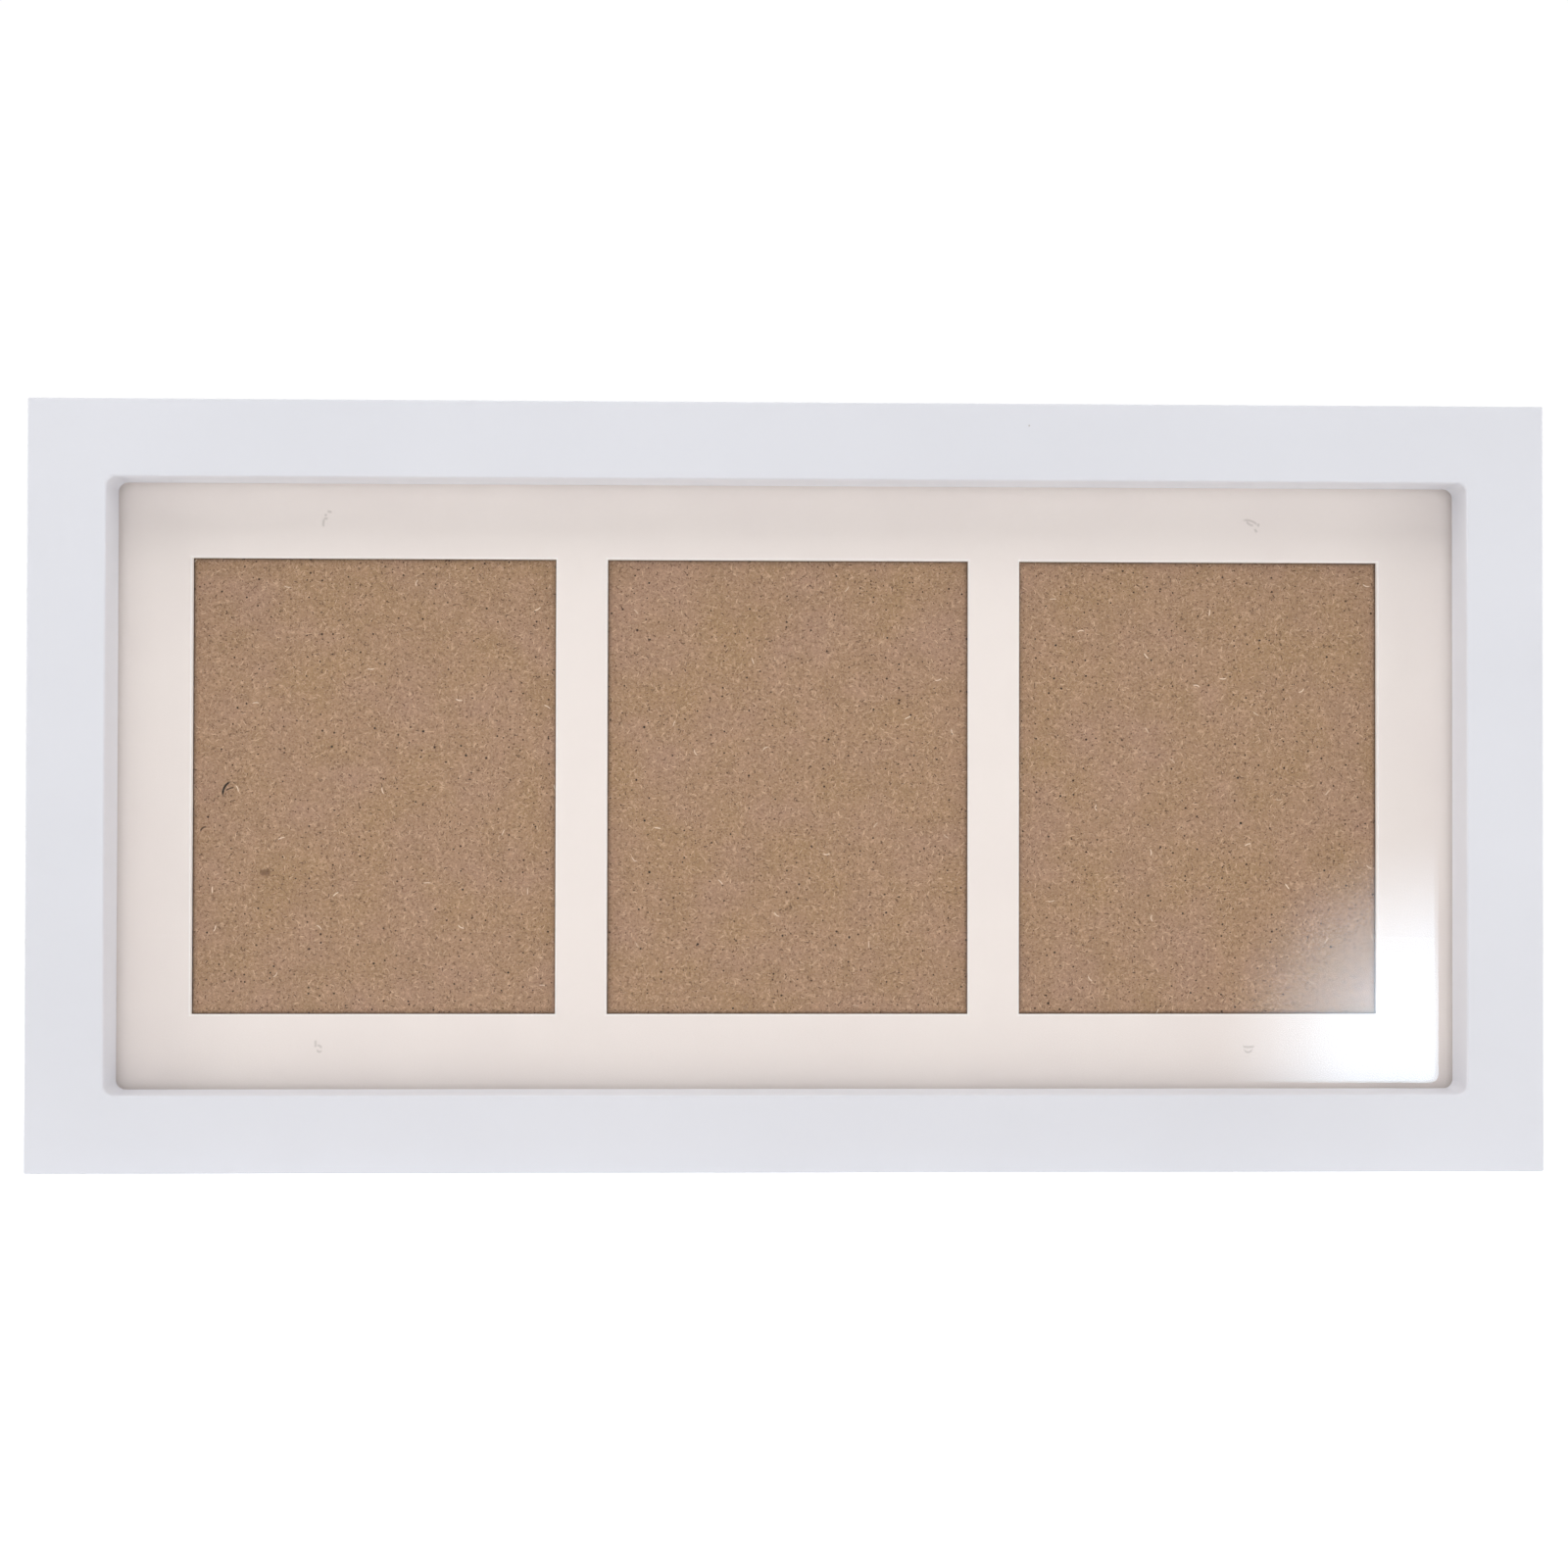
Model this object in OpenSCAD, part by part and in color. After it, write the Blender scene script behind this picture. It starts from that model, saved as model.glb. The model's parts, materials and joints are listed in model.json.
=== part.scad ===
// Handprint frame: a white routed board with glass, a three-window mat and a hardboard back.
// X runs along the width, Y from the front to the back, Z up. The origin is the middle of the base.

/* [Mat] */
// Width of one window in the mat
window_w = 95; // [75:1:120]
// Height of one window in the mat
window_h = 119.5; // [80:0.5:160]
// Strip of mat between two windows
window_gap = 13.5; // [8:0.5:30]
// Strip of mat seen outside the outer windows
mat_side = 19; // [12:0.5:30]
// Strip of mat seen above and below the windows
mat_top = 19.25; // [15:0.25:30]
// Thickness of the mat card
mat_t = 1.5; // [1:0.25:2.5]
// How far to the right the mat lies in its play
mat_shift = -0.35; // [-0.6:0.05:0.6]
// Radius of one dab of the glue that holds the mat to the back
dab_r = 2.4; // [1.5:0.1:4]
// Distance of the glue dabs from the side edges of the opening
dab_inset = 53; // [20:1:80]
// Thickness of the pressed glue
glue_t = 0.3; // [0.1:0.1:0.5]

/* [Frame body] */
// Width of the rim as seen from the front
rim_w = 20; // [17:0.5:26]
// Thickness of the board that the frame is routed from
frame_t = 18; // [16:1:25]
// How far the rebate at the back is wider than the opening, on each side
rebate_w = 6.5; // [5:0.5:8]
// Radius of the router cutter, left in the corners of the opening and the rebate
cutter_r = 2.5; // [1:0.5:3]

/* [Glass and back] */
// Thickness of the float glass
glass_t = 2; // [1.5:0.5:3]
// Play between the rebate's walls and the edges of what lies in it
pane_gap = 1.2; // [1.1:0.1:2]
// Thickness of the hardboard back
back_t = 3; // [2:0.5:4]
// Depth of the hardboard below the frame's rear face
back_sink = 0.2; // [0.1:0.1:0.5]

/* [Turn buttons] */
// Room between the strut's foot and a turn button that lies along the rail
button_clear = 26; // [2:1:32]
// Thickness of a turn button
button_t = 1; // [0.8:0.1:1.5]
// Radius of its round end at the screw
button_end_r = 4.5; // [4:0.25:5]
// Radius of its tip
button_tip_r = 3.25; // [2.5:0.25:4]
// Lap of its tip over the hardboard
button_lap = 8; // [6:0.5:12]
// Radius of the stiffening rib pressed along it
rib_r = 0.8; // [0.6:0.05:1]
// Running gap under the button and under the screw head
button_gap = 0.1; // [0.05:0.05:0.3]

/* [Button screws] */
// Radius of a screw
screw_r = 1.5; // [1.25:0.05:1.75]
// Length of a screw in the wood
screw_depth = 10; // [8:0.5:12]
// Radius of the screw head
screw_head_r = 3; // [2.5:0.1:3.5]
// Height of the screw head
screw_head_h = 1.9; // [1.5:0.1:2.5]
// Radial clearance of the button's hole round the screw
screw_fit = 0.05; // [0.02:0.01:0.1]
// Width of the cross slot in the head
slot_w = 0.8; // [0.6:0.1:1]
// Length of the cross slot in the head
slot_l = 3.4; // [2.5:0.1:4]
// Depth of the cross slot in the head
slot_depth = 1.1; // [0.8:0.1:1.4]

/* [Sawtooth hangers] */
// Distance from the end of the frame to the middle of a hanger
hanger_inset = 55; // [30:1:60]
// Length of a hanger
hanger_l = 40; // [34:1:50]
// Height of a hanger
hanger_h = 8; // [7:0.5:9]
// Thickness of the hanger's steel
hanger_t = 0.7; // [0.5:0.1:1]
// Length of the flat tab at each end
tab_l = 7; // [6:0.5:8]
// Length of the slope between tab and bridge
slope_l = 2.5; // [2:0.5:4]
// Space behind the bridge for the head of the wall nail
bridge_rise = 2.2; // [1.5:0.1:3]
// Pitch of the teeth
tooth_pitch = 2.5; // [2:0.25:4]
// Depth of the teeth
tooth_depth = 1.4; // [1:0.1:2]
// Radius of a hanger nail
nail_r = 0.75; // [0.6:0.05:1]
// Length of a hanger nail in the wood
nail_depth = 9; // [6:0.5:11]
// Radius of the nail's head
nail_head_r = 1.8; // [1.5:0.1:2.4]
// Height of the nail's head
nail_head_h = 0.8; // [0.5:0.1:1.2]

/* [Strut hinge] */
// Thickness of the hinge's steel
leaf_t = 0.8; // [0.6:0.1:1.2]
// Radius of the hinge pin
pin_r = 1.15; // [0.9:0.05:1.5]
// Radial clearance between pin and knuckles
pin_fit = 0.05; // [0.02:0.01:0.1]
// Gap between the knuckles and the hardboard, and between two knuckles
knuckle_gap = 0.3; // [0.2:0.05:0.5]
// Overall width of the hinge
hinge_w = 36; // [34:1:44]
// Width of the middle knuckle
mid_knuckle_w = 15.4; // [12:0.2:18]
// Height of the fixed leaf above the pin
fixed_leaf_h = 18; // [16:0.5:20]
// Width of the moving leaf on the strut
moving_leaf_w = 26; // [24:0.5:30]
// Length of the moving leaf on the strut
moving_leaf_l = 24; // [20:0.5:30]
// How far the moving leaf's face stands proud of its knuckle
leaf_proud = 0.2; // [0.1:0.05:0.4]
// Corner radius of both leaves
leaf_corner_r = 3; // [1:0.5:4]
// Radius of the pin's heads
pin_head_r = 1.7; // [1.6:0.05:2]
// Height of the pin's heads
pin_head_h = 0.6; // [0.4:0.1:1]
// Opening angle at which the hinge's tongue stops the strut
strut_open = 30; // [22:1:40]

/* [Rivets] */
// Radius of a rivet
rivet_r = 1.5; // [1.25:0.05:1.75]
// Distance of a rivet from the middle of the hinge
rivet_x = 9; // [7:0.5:9.5]
// Distance of the fixed leaf's rivets from its upper edge
rivet_edge = 7; // [5:0.5:9]
// Radius of the rivet's domed head
rivet_head_r = 2.6; // [2.2:0.1:3]
// Height of the rivet's domed head
rivet_head_h = 1; // [0.7:0.1:1.3]
// Radius of the clinched end
rivet_tail_r = 2.3; // [2:0.1:2.8]
// Depth to which the clinched end is set into the board
rivet_tail_h = 0.4; // [0.3:0.05:0.6]

/* [Easel strut] */
// Thickness of the strut
strut_t = 3; // [2:0.5:4]
// Width of the strut at the hinge
strut_top_w = 36; // [32:1:44]
// Width of the strut at its foot
strut_foot_w = 66; // [50:1:80]
// Corner radius of the strut
strut_corner_r = 6; // [3:0.5:8]
// Gap between the folded strut and the frame
strut_gap = 0.5; // [0.2:0.1:1]
// Height of the folded strut's foot above the base
foot_clear = 3; // [1:0.5:8]

/* [Hidden] */
// Windows in the mat, the smaller lobe of a glue dab, and the overrun of every cut
windows = 3;
splash_share = 0.7;
cut = 1;
$fn = 48;

// Planes from the front to the back
front_y = -frame_t / 2;
back_y = frame_t / 2;
board_back_y = back_y - back_sink;
board_y = board_back_y - back_t;
mat_y = board_y - glue_t - mat_t;
glass_y = mat_y - glass_t;
button_y = back_y + button_gap;

// The opening and the frame round it, and the outline of glass, mat and hardboard
window_pitch = window_w + window_gap;
opening_w = windows * window_pitch - window_gap + 2 * mat_side;
opening_h = window_h + 2 * mat_top;
frame_w = opening_w + 2 * rim_w;
frame_h = opening_h + 2 * rim_w;
mid_z = frame_h / 2;
pane_w = opening_w + 2 * (rebate_w - pane_gap);
pane_h = opening_h + 2 * (rebate_w - pane_gap);

// The rail that the rebate leaves at the back, with the screws in its middle
rail_mid = (rim_w - rebate_w) / 2;
button_reach = rail_mid + pane_gap + button_lap;
button_x = strut_foot_w / 2 + button_clear + button_reach;

// Each turn button's X, Z and the direction in which its tip points, from +X towards +Z
TOP_LEFT = [-button_x, frame_h - rail_mid, -90];
TOP_RIGHT = [button_x, frame_h - rail_mid, -90];
BOTTOM_LEFT = [-button_x, rail_mid, 90];
BOTTOM_RIGHT = [button_x, rail_mid, 90];
LEFT = [rail_mid - frame_w / 2, mid_z, 0];
RIGHT = [frame_w / 2 - rail_mid, mid_z, 180];
button_places = [TOP_LEFT, TOP_RIGHT, BOTTOM_LEFT, BOTTOM_RIGHT, LEFT, RIGHT];

// The hangers' middle, and the distance of each nail from it
hanger_x = frame_w / 2 - hanger_inset;
hanger_z = frame_h - rail_mid;
nail_x = (hanger_l - tab_l) / 2;

// The hinge: its pin is level with the windows' upper edge, so that the mat hides the rivets
knuckle_r = pin_r + pin_fit + leaf_t;
leaf_inset = knuckle_r + leaf_proud - leaf_t;
pin_y = max(board_back_y + knuckle_gap + knuckle_r, back_y + strut_gap + strut_t - leaf_inset);
pin_z = mid_z + window_h / 2;
fixed_leaf_y = board_back_y + leaf_t;
moving_leaf_y = pin_y + leaf_inset;
fixed_rivet_z = pin_z + fixed_leaf_h - rivet_edge;

// The tongue above the pin, whose edge meets the fixed leaf when the strut is open
tongue_l = (pin_y - fixed_leaf_y - button_gap + leaf_inset * cos(strut_open)) / sin(strut_open);

// The strut hangs below the knuckles
strut_top_z = pin_z - knuckle_r - knuckle_gap;
strut_y = moving_leaf_y - strut_t;
leaf_foot_z = strut_top_z - moving_leaf_l;
strut_rivet_z = leaf_foot_z + rivet_edge;

// A sheet that stands upright, its outline drawn in X and Z, from y to y + t
module sheet(y, t) {
  translate([0, y + t, 0]) rotate([90, 0, 0]) linear_extrude(t) children();
}

// Something that points backwards from a place
module backwards(x, y, z) {
  translate([x, y, z]) rotate([-90, 0, 0]) children();
}

// Something that points along X, centred there on the hinge pin
module along_pin() {
  translate([0, pin_y, pin_z]) rotate([0, 90, 0]) children();
}

// Flat rectangle with round corners
module round_rect(w, h, r) {
  square([w - 2 * r, h], center = true);
  square([w, h - 2 * r], center = true);
  for (sx = [-1, 1], sz = [-1, 1])
    translate([sx * (w / 2 - r), sz * (h / 2 - r)]) circle(r);
}

// Convex outline with round corners, whose centres are given anticlockwise
function outward(a, b) = [b[1] - a[1], a[0] - b[0]] / norm(b - a);
module round_outline(centres, r) {
  polygon([for (i = [0 : len(centres) - 1])
    let (a = centres[i], b = centres[(i + 1) % len(centres)])
      each [a + r * outward(a, b), b + r * outward(a, b)]]);
  for (c = centres) translate(c) circle(r);
}

// Low dome of radius r and height h on the XY plane
module dome(r, h) {
  ball_r = (r * r + h * h) / (2 * h);
  intersection() {
    translate([0, 0, h - ball_r]) sphere(ball_r);
    cylinder(r = r, h = h);
  }
}

// One board, routed from the front for the opening and from the back for the rebate
module frame_body() {
  color("white") difference() {
    sheet(front_y, frame_t) translate([0, mid_z]) square([frame_w, frame_h], center = true);
    sheet(front_y - cut, frame_t) translate([0, mid_z]) round_rect(opening_w, opening_h, cutter_r);
    sheet(glass_y, frame_t) translate([0, mid_z])
      round_rect(opening_w + 2 * rebate_w, opening_h + 2 * rebate_w, cutter_r);
    for (p = button_places) backwards(p[0], back_y - screw_depth, p[1])
      cylinder(r = screw_r, h = screw_depth + cut);
    for (s = [-1, 1], e = [-1, 1]) backwards(s * hanger_x + e * nail_x, back_y - nail_depth, hanger_z)
      cylinder(r = nail_r, h = nail_depth + cut);
  }
}

module glazing_pane() {
  color([0.8, 0.9, 0.87, 0.3]) sheet(glass_y, glass_t)
    translate([0, mid_z]) square([pane_w, pane_h], center = true);
}

// Mat card with its row of windows
module window_mat() {
  color([0.9, 0.86, 0.83]) sheet(mat_y, mat_t) translate([mat_shift, mid_z]) difference() {
    square([pane_w, pane_h], center = true);
    for (i = [0 : windows - 1])
      translate([(i - (windows - 1) / 2) * window_pitch, 0])
        square([window_w, window_h], center = true);
  }
}

// Pressed dabs of glue in the middle of the mat's upper and lower strips
module mat_glue_dabs() {
  dab_x = opening_w / 2 - dab_inset;
  dab_z = (window_h + mat_top) / 2;
  color("ivory") sheet(mat_y + mat_t, glue_t) translate([mat_shift, mid_z])
    for (sx = [-1, 1], sz = [-1, 1]) translate([sx * dab_x, sz * dab_z]) {
      circle(dab_r);
      translate([dab_r, dab_r] / 2) circle(dab_r * splash_share);
    }
}

// Hardboard back, drilled for the hinge's rivets and dented round their clinched ends
module backing_board() {
  color([0.66, 0.53, 0.43]) difference() {
    sheet(board_y, back_t) translate([0, mid_z]) square([pane_w, pane_h], center = true);
    for (s = [-1, 1]) backwards(s * rivet_x, board_y, fixed_rivet_z) {
      translate([0, 0, -cut]) cylinder(r = rivet_r, h = back_t + 2 * cut);
      translate([0, 0, -cut]) cylinder(r = rivet_tail_r, h = rivet_tail_h + cut);
    }
  }
}

// Stamped steel button that turns on its screw
module turn_button(place) {
  tip_x = button_reach - button_tip_r;
  slant = asin((button_end_r - button_tip_r) / tip_x);
  side = [sin(slant), cos(slant)];
  mirrored = [side[0], -side[1]];
  rib_from = screw_head_r + rib_r + button_gap;
  color("silver") {
    sheet(button_y, button_t) translate([place[0], place[1]]) rotate(place[2]) difference() {
      union() {
        circle(button_end_r);
        translate([tip_x, 0]) circle(button_tip_r);
        polygon([button_end_r * mirrored, [tip_x, 0] + button_tip_r * mirrored,
          [tip_x, 0] + button_tip_r * side, button_end_r * side]);
      }
      circle(screw_r + screw_fit);
    }
    translate([place[0], button_y + rib_r, place[1]]) rotate([0, -place[2], 0])
      translate([rib_from, 0, 0]) {
        sphere(rib_r);
        rotate([0, 90, 0]) cylinder(r = rib_r, h = tip_x - rib_from);
        translate([tip_x - rib_from, 0, 0]) sphere(rib_r);
      }
  }
}

// Pan head screws with a cross slot, one for each turn button
module turn_button_screws() {
  neck = button_t + 2 * button_gap;
  color("silver") for (p = button_places) backwards(p[0], back_y, p[1]) difference() {
    union() {
      translate([0, 0, -screw_depth]) cylinder(r = screw_r, h = screw_depth + neck);
      translate([0, 0, neck]) dome(screw_head_r, screw_head_h);
    }
    translate([0, 0, neck + screw_head_h - slot_depth + cut / 2]) for (a = [45, 135]) rotate(a)
      translate([0, 0, slot_depth / 2]) cube([slot_l, slot_w, slot_depth + cut], center = true);
  }
}

// Bent steel strip with teeth along the lower edge of its bridge
module hanger(x) {
  bridge_from = hanger_l / 2 - tab_l - slope_l;
  teeth = floor(2 * bridge_from / tooth_pitch) - 1;
  half = [[hanger_l / 2, 0], [hanger_l / 2 - tab_l, 0], [bridge_from, bridge_rise]];
  raised = [for (p = half) p + [0, hanger_t]];
  left = [for (i = [2, 1, 0]) [-half[i][0], half[i][1]]];
  left_raised = [for (i = [0, 1, 2]) [-raised[i][0], raised[i][1]]];
  color("silver") difference() {
    translate([x, back_y, hanger_z - hanger_h / 2]) linear_extrude(hanger_h)
      polygon(concat(half, left, left_raised, [raised[2], raised[1], raised[0]]));
    for (i = [0 : teeth - 1])
      sheet(back_y + bridge_rise - cut, hanger_t + 2 * cut)
        translate([x + (i - (teeth - 1) / 2) * tooth_pitch, hanger_z - hanger_h / 2])
          polygon([[-tooth_pitch / 2, 0], [0, -tooth_depth], [tooth_pitch / 2, 0], [0, tooth_depth]]);
    for (e = [-1, 1]) backwards(x + e * nail_x, back_y - cut, hanger_z)
      cylinder(r = nail_r, h = hanger_t + 2 * cut);
  }
}

// Round-headed nails through the hangers' tabs
module hanger_nails() {
  color("silver") for (s = [-1, 1], e = [-1, 1])
    backwards(s * hanger_x + e * nail_x, back_y - nail_depth, hanger_z) {
      cylinder(r = nail_r, h = nail_depth + hanger_t);
      translate([0, 0, nail_depth + hanger_t]) dome(nail_head_r, nail_head_h);
    }
}

// Leaf riveted to the hardboard, with the two outer knuckles
module hinge_fixed_leaf() {
  notch_w = mid_knuckle_w + 2 * knuckle_gap;
  corner = [hinge_w / 2 - leaf_corner_r, fixed_leaf_h - leaf_corner_r];
  color("silver") difference() {
    union() {
      sheet(board_back_y, leaf_t) translate([0, pin_z]) difference() {
        union() {
          round_outline([[corner[0], leaf_corner_r], corner, [-corner[0], corner[1]],
            [-corner[0], leaf_corner_r]], leaf_corner_r);
          translate([-hinge_w / 2, 0]) square([hinge_w, fixed_leaf_h / 2]);
        }
        translate([-notch_w / 2, -cut]) square([notch_w, knuckle_r + knuckle_gap + cut]);
      }
      along_pin() cylinder(r = knuckle_r, h = hinge_w, center = true);
    }
    along_pin() cylinder(r = pin_r + pin_fit, h = hinge_w + 2 * cut, center = true);
    along_pin() cylinder(r = knuckle_r + knuckle_gap, h = notch_w, center = true);
    for (s = [-1, 1]) backwards(s * rivet_x, board_back_y - cut, fixed_rivet_z)
      cylinder(r = rivet_r, h = leaf_t + 2 * cut);
  }
}

// Pin through all three knuckles, peened over at both ends
module hinge_pin() {
  half_l = hinge_w / 2 + pin_fit;
  color("silver") along_pin() {
    cylinder(r = pin_r, h = 2 * half_l, center = true);
    translate([0, 0, half_l]) dome(pin_head_r, pin_head_h);
    mirror([0, 0, 1]) translate([0, 0, half_l]) dome(pin_head_r, pin_head_h);
  }
}

// Leaf riveted to the strut, with the middle knuckle and the tongue that stops it
module hinge_moving_leaf() {
  corner_x = moving_leaf_w / 2 - leaf_corner_r;
  low_z = leaf_foot_z + leaf_corner_r;
  high_z = strut_top_z - leaf_corner_r;
  color("silver") difference() {
    union() {
      sheet(moving_leaf_y, leaf_t) {
        round_outline([[corner_x, low_z], [corner_x, high_z], [-corner_x, high_z], [-corner_x, low_z]],
          leaf_corner_r);
        translate([-mid_knuckle_w / 2, high_z]) square([mid_knuckle_w, pin_z + tongue_l - high_z]);
      }
      along_pin() cylinder(r = knuckle_r, h = mid_knuckle_w, center = true);
    }
    along_pin() cylinder(r = pin_r + pin_fit, h = mid_knuckle_w + 2 * cut, center = true);
    for (s = [-1, 1]) backwards(s * rivet_x, moving_leaf_y - cut, strut_rivet_z)
      cylinder(r = rivet_r, h = leaf_t + 2 * cut);
  }
}

// Two rivets through a leaf and a board: clinched end at y, domed head over the leaf
module rivets(y, board, z) {
  color("silver") for (s = [-1, 1]) backwards(s * rivet_x, y, z) {
    cylinder(r = rivet_tail_r, h = rivet_tail_h);
    cylinder(r = rivet_r, h = board + leaf_t);
    translate([0, 0, board + leaf_t]) dome(rivet_head_r, rivet_head_h);
  }
}

// Tapered prop of hardboard, drilled and dented for its rivets
module easel_strut() {
  top_x = strut_top_w / 2 - strut_corner_r;
  foot_x = strut_foot_w / 2 - strut_corner_r;
  top_z = strut_top_z - strut_corner_r;
  foot_z = foot_clear + strut_corner_r;
  color([0.6, 0.47, 0.37]) difference() {
    sheet(strut_y, strut_t) round_outline([[foot_x, foot_z], [top_x, top_z], [-top_x, top_z],
      [-foot_x, foot_z]], strut_corner_r);
    for (s = [-1, 1]) backwards(s * rivet_x, strut_y, strut_rivet_z) {
      translate([0, 0, -cut]) cylinder(r = rivet_r, h = strut_t + 2 * cut);
      translate([0, 0, -cut]) cylinder(r = rivet_tail_r, h = rivet_tail_h + cut);
    }
  }
}

frame_body();
glazing_pane();
window_mat();
mat_glue_dabs();
backing_board();
turn_button(TOP_LEFT);  // turn_button_top_left
turn_button(TOP_RIGHT);  // turn_button_top_right
turn_button(BOTTOM_LEFT);  // turn_button_bottom_left
turn_button(BOTTOM_RIGHT);  // turn_button_bottom_right
turn_button(LEFT);  // turn_button_left
turn_button(RIGHT);  // turn_button_right
turn_button_screws();
hanger(-hanger_x);  // hanger_left
hanger(hanger_x);  // hanger_right
hanger_nails();
hinge_fixed_leaf();
hinge_pin();
rivets(board_y, back_t, fixed_rivet_z);  // fixed_leaf_rivets
hinge_moving_leaf();
rivets(strut_y, strut_t, strut_rivet_z);  // strut_rivets
easel_strut();
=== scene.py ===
"""Handprint frame: a white routed frame with glass, a cream mat with three windows, a hardboard back
and an easel strut.

Everything is in metres, in the part's own frame: X along the width, Y from the front to the back, Z up,
the origin in the middle of the base. Each section makes one piece, in the order of putting it together.
"""

import json
import math

import bmesh
import bpy
from mathutils import Matrix, Vector


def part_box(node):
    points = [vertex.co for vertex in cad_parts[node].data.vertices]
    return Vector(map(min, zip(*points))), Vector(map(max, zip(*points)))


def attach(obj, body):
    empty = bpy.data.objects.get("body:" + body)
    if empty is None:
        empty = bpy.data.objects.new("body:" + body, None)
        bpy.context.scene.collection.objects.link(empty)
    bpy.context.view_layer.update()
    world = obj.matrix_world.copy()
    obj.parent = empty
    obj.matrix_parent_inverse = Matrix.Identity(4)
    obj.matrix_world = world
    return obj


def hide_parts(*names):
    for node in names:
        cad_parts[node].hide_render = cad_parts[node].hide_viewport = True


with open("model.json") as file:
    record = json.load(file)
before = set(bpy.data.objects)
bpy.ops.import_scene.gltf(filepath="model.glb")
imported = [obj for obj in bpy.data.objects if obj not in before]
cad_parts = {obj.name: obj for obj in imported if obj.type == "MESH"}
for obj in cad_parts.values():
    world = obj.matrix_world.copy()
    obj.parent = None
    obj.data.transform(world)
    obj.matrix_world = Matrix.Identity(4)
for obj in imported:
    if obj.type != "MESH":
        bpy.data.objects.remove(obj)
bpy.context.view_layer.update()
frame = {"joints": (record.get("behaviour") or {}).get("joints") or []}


# Frame body. The real one is a single MDF board, routed from the front for the opening and from the
# back for the rebate that takes glass, mat and back. Its edges are eased with paper, the lip's most of
# all, and it is primed and sprayed with satin lacquer.
MM = 0.001
TINY = 0.01 * MM


def begin(name, primitive, place=(0, 0, 0), stretch=(1, 1, 1), turn=(0, 0, 0), **settings):
    """Adds a primitive at its place, bakes that place into its mesh, and opens it in edit mode."""
    if bpy.context.mode != "OBJECT":
        bpy.ops.object.mode_set(mode="OBJECT")
    bpy.ops.object.select_all(action="DESELECT")
    primitive(location=place, rotation=turn, **settings)
    bpy.context.object.scale = stretch
    bpy.ops.object.transform_apply(location=True, rotation=True, scale=True)
    bpy.context.object.name = name
    bpy.ops.object.mode_set(mode="EDIT")
    bpy.ops.mesh.select_all(action="DESELECT")
    return bpy.context.object


def begin_box(name, low, high):
    """Begins a piece as the box between two corners."""
    low, high = Vector(low), Vector(high)
    return begin(name, bpy.ops.mesh.primitive_cube_add, (low + high) / 2, high - low, size=1)


def middle(part):
    """The middle of a face, an edge or a corner."""
    corners = part.verts if hasattr(part, "verts") else [part]
    return sum((corner.co for corner in corners), Vector()) / len(corners)


def along(edge, axis):
    """Whether an edge runs along an axis, which is 0 for X, 1 for Y and 2 for Z."""
    run = edge.verts[1].co - edge.verts[0].co
    return run.length > TINY and abs(run[axis]) > 0.99 * run.length


def select(kind, test):
    """Selects the faces, edges or corners of the open piece that pass the test."""
    bpy.ops.mesh.select_all(action="DESELECT")
    bpy.ops.mesh.select_mode(type=kind)
    mesh = bmesh.from_edit_mesh(bpy.context.object.data)
    parts = {"VERT": mesh.verts, "EDGE": mesh.edges, "FACE": mesh.faces}[kind]
    for part in [part for part in parts if test(part)]:
        part.select_set(True)
    bmesh.update_edit_mesh(bpy.context.object.data)


def extrude(*way):
    """Draws the selection out along a way."""
    bpy.ops.mesh.extrude_region_move(TRANSFORM_OT_translate={"value": way})


def ease(radius, steps=3):
    """Rounds the selected edges over."""
    bpy.ops.mesh.bevel(offset=radius, segments=steps, affect="EDGES", clamp_overlap=True)


def combine(piece, tool, operation="DIFFERENCE"):
    """Cuts a tool out of a piece, or joins it on, and deletes the tool."""
    bpy.ops.object.mode_set(mode="OBJECT")
    bpy.ops.object.select_all(action="DESELECT")
    bpy.context.view_layer.objects.active = piece
    piece.select_set(True)
    bpy.ops.object.modifier_add(type="BOOLEAN")
    change = piece.modifiers[-1]
    change.operation = operation
    change.object = tool
    bpy.ops.object.modifier_apply(modifier=change.name)
    bpy.data.objects.remove(tool)


def bore(piece, place, radius, depth):
    """Drills a round hole into a piece, from a place towards the front."""
    overrun = 1 * MM
    centre = Vector(place) + Vector((0, (overrun - depth) / 2, 0))
    turn = (math.radians(90), 0, 0)
    shape = {"radius": radius, "depth": depth + overrun, "vertices": 32}
    combine(piece, begin("drill", bpy.ops.mesh.primitive_cylinder_add, centre, turn=turn, **shape))


def close(piece, *materials):
    """Merges doubles, turns faces outwards, shades curves smooth and flats flat, adds the materials."""
    bpy.ops.object.mode_set(mode="EDIT")
    bpy.ops.mesh.select_all(action="SELECT")
    bpy.ops.mesh.remove_doubles(threshold=TINY / 10)
    bpy.ops.mesh.normals_make_consistent(inside=False)
    bpy.ops.object.mode_set(mode="OBJECT")
    bpy.ops.object.shade_smooth_by_angle(angle=math.radians(35))
    bpy.ops.object.modifier_add(type="WEIGHTED_NORMAL")
    piece.modifiers[-1].keep_sharp = True
    bpy.ops.object.modifier_apply(modifier=piece.modifiers[-1].name)
    for material in materials:
        piece.data.materials.append(material)


def linear(code):
    """An sRGB hex colour as the linear colour that a shader takes."""
    shares = [int(code[i : i + 2], 16) / 255 for i in (1, 3, 5)]
    return [*(s / 12.92 if s <= 0.04045 else ((s + 0.055) / 1.055) ** 2.4 for s in shares), 1]


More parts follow.
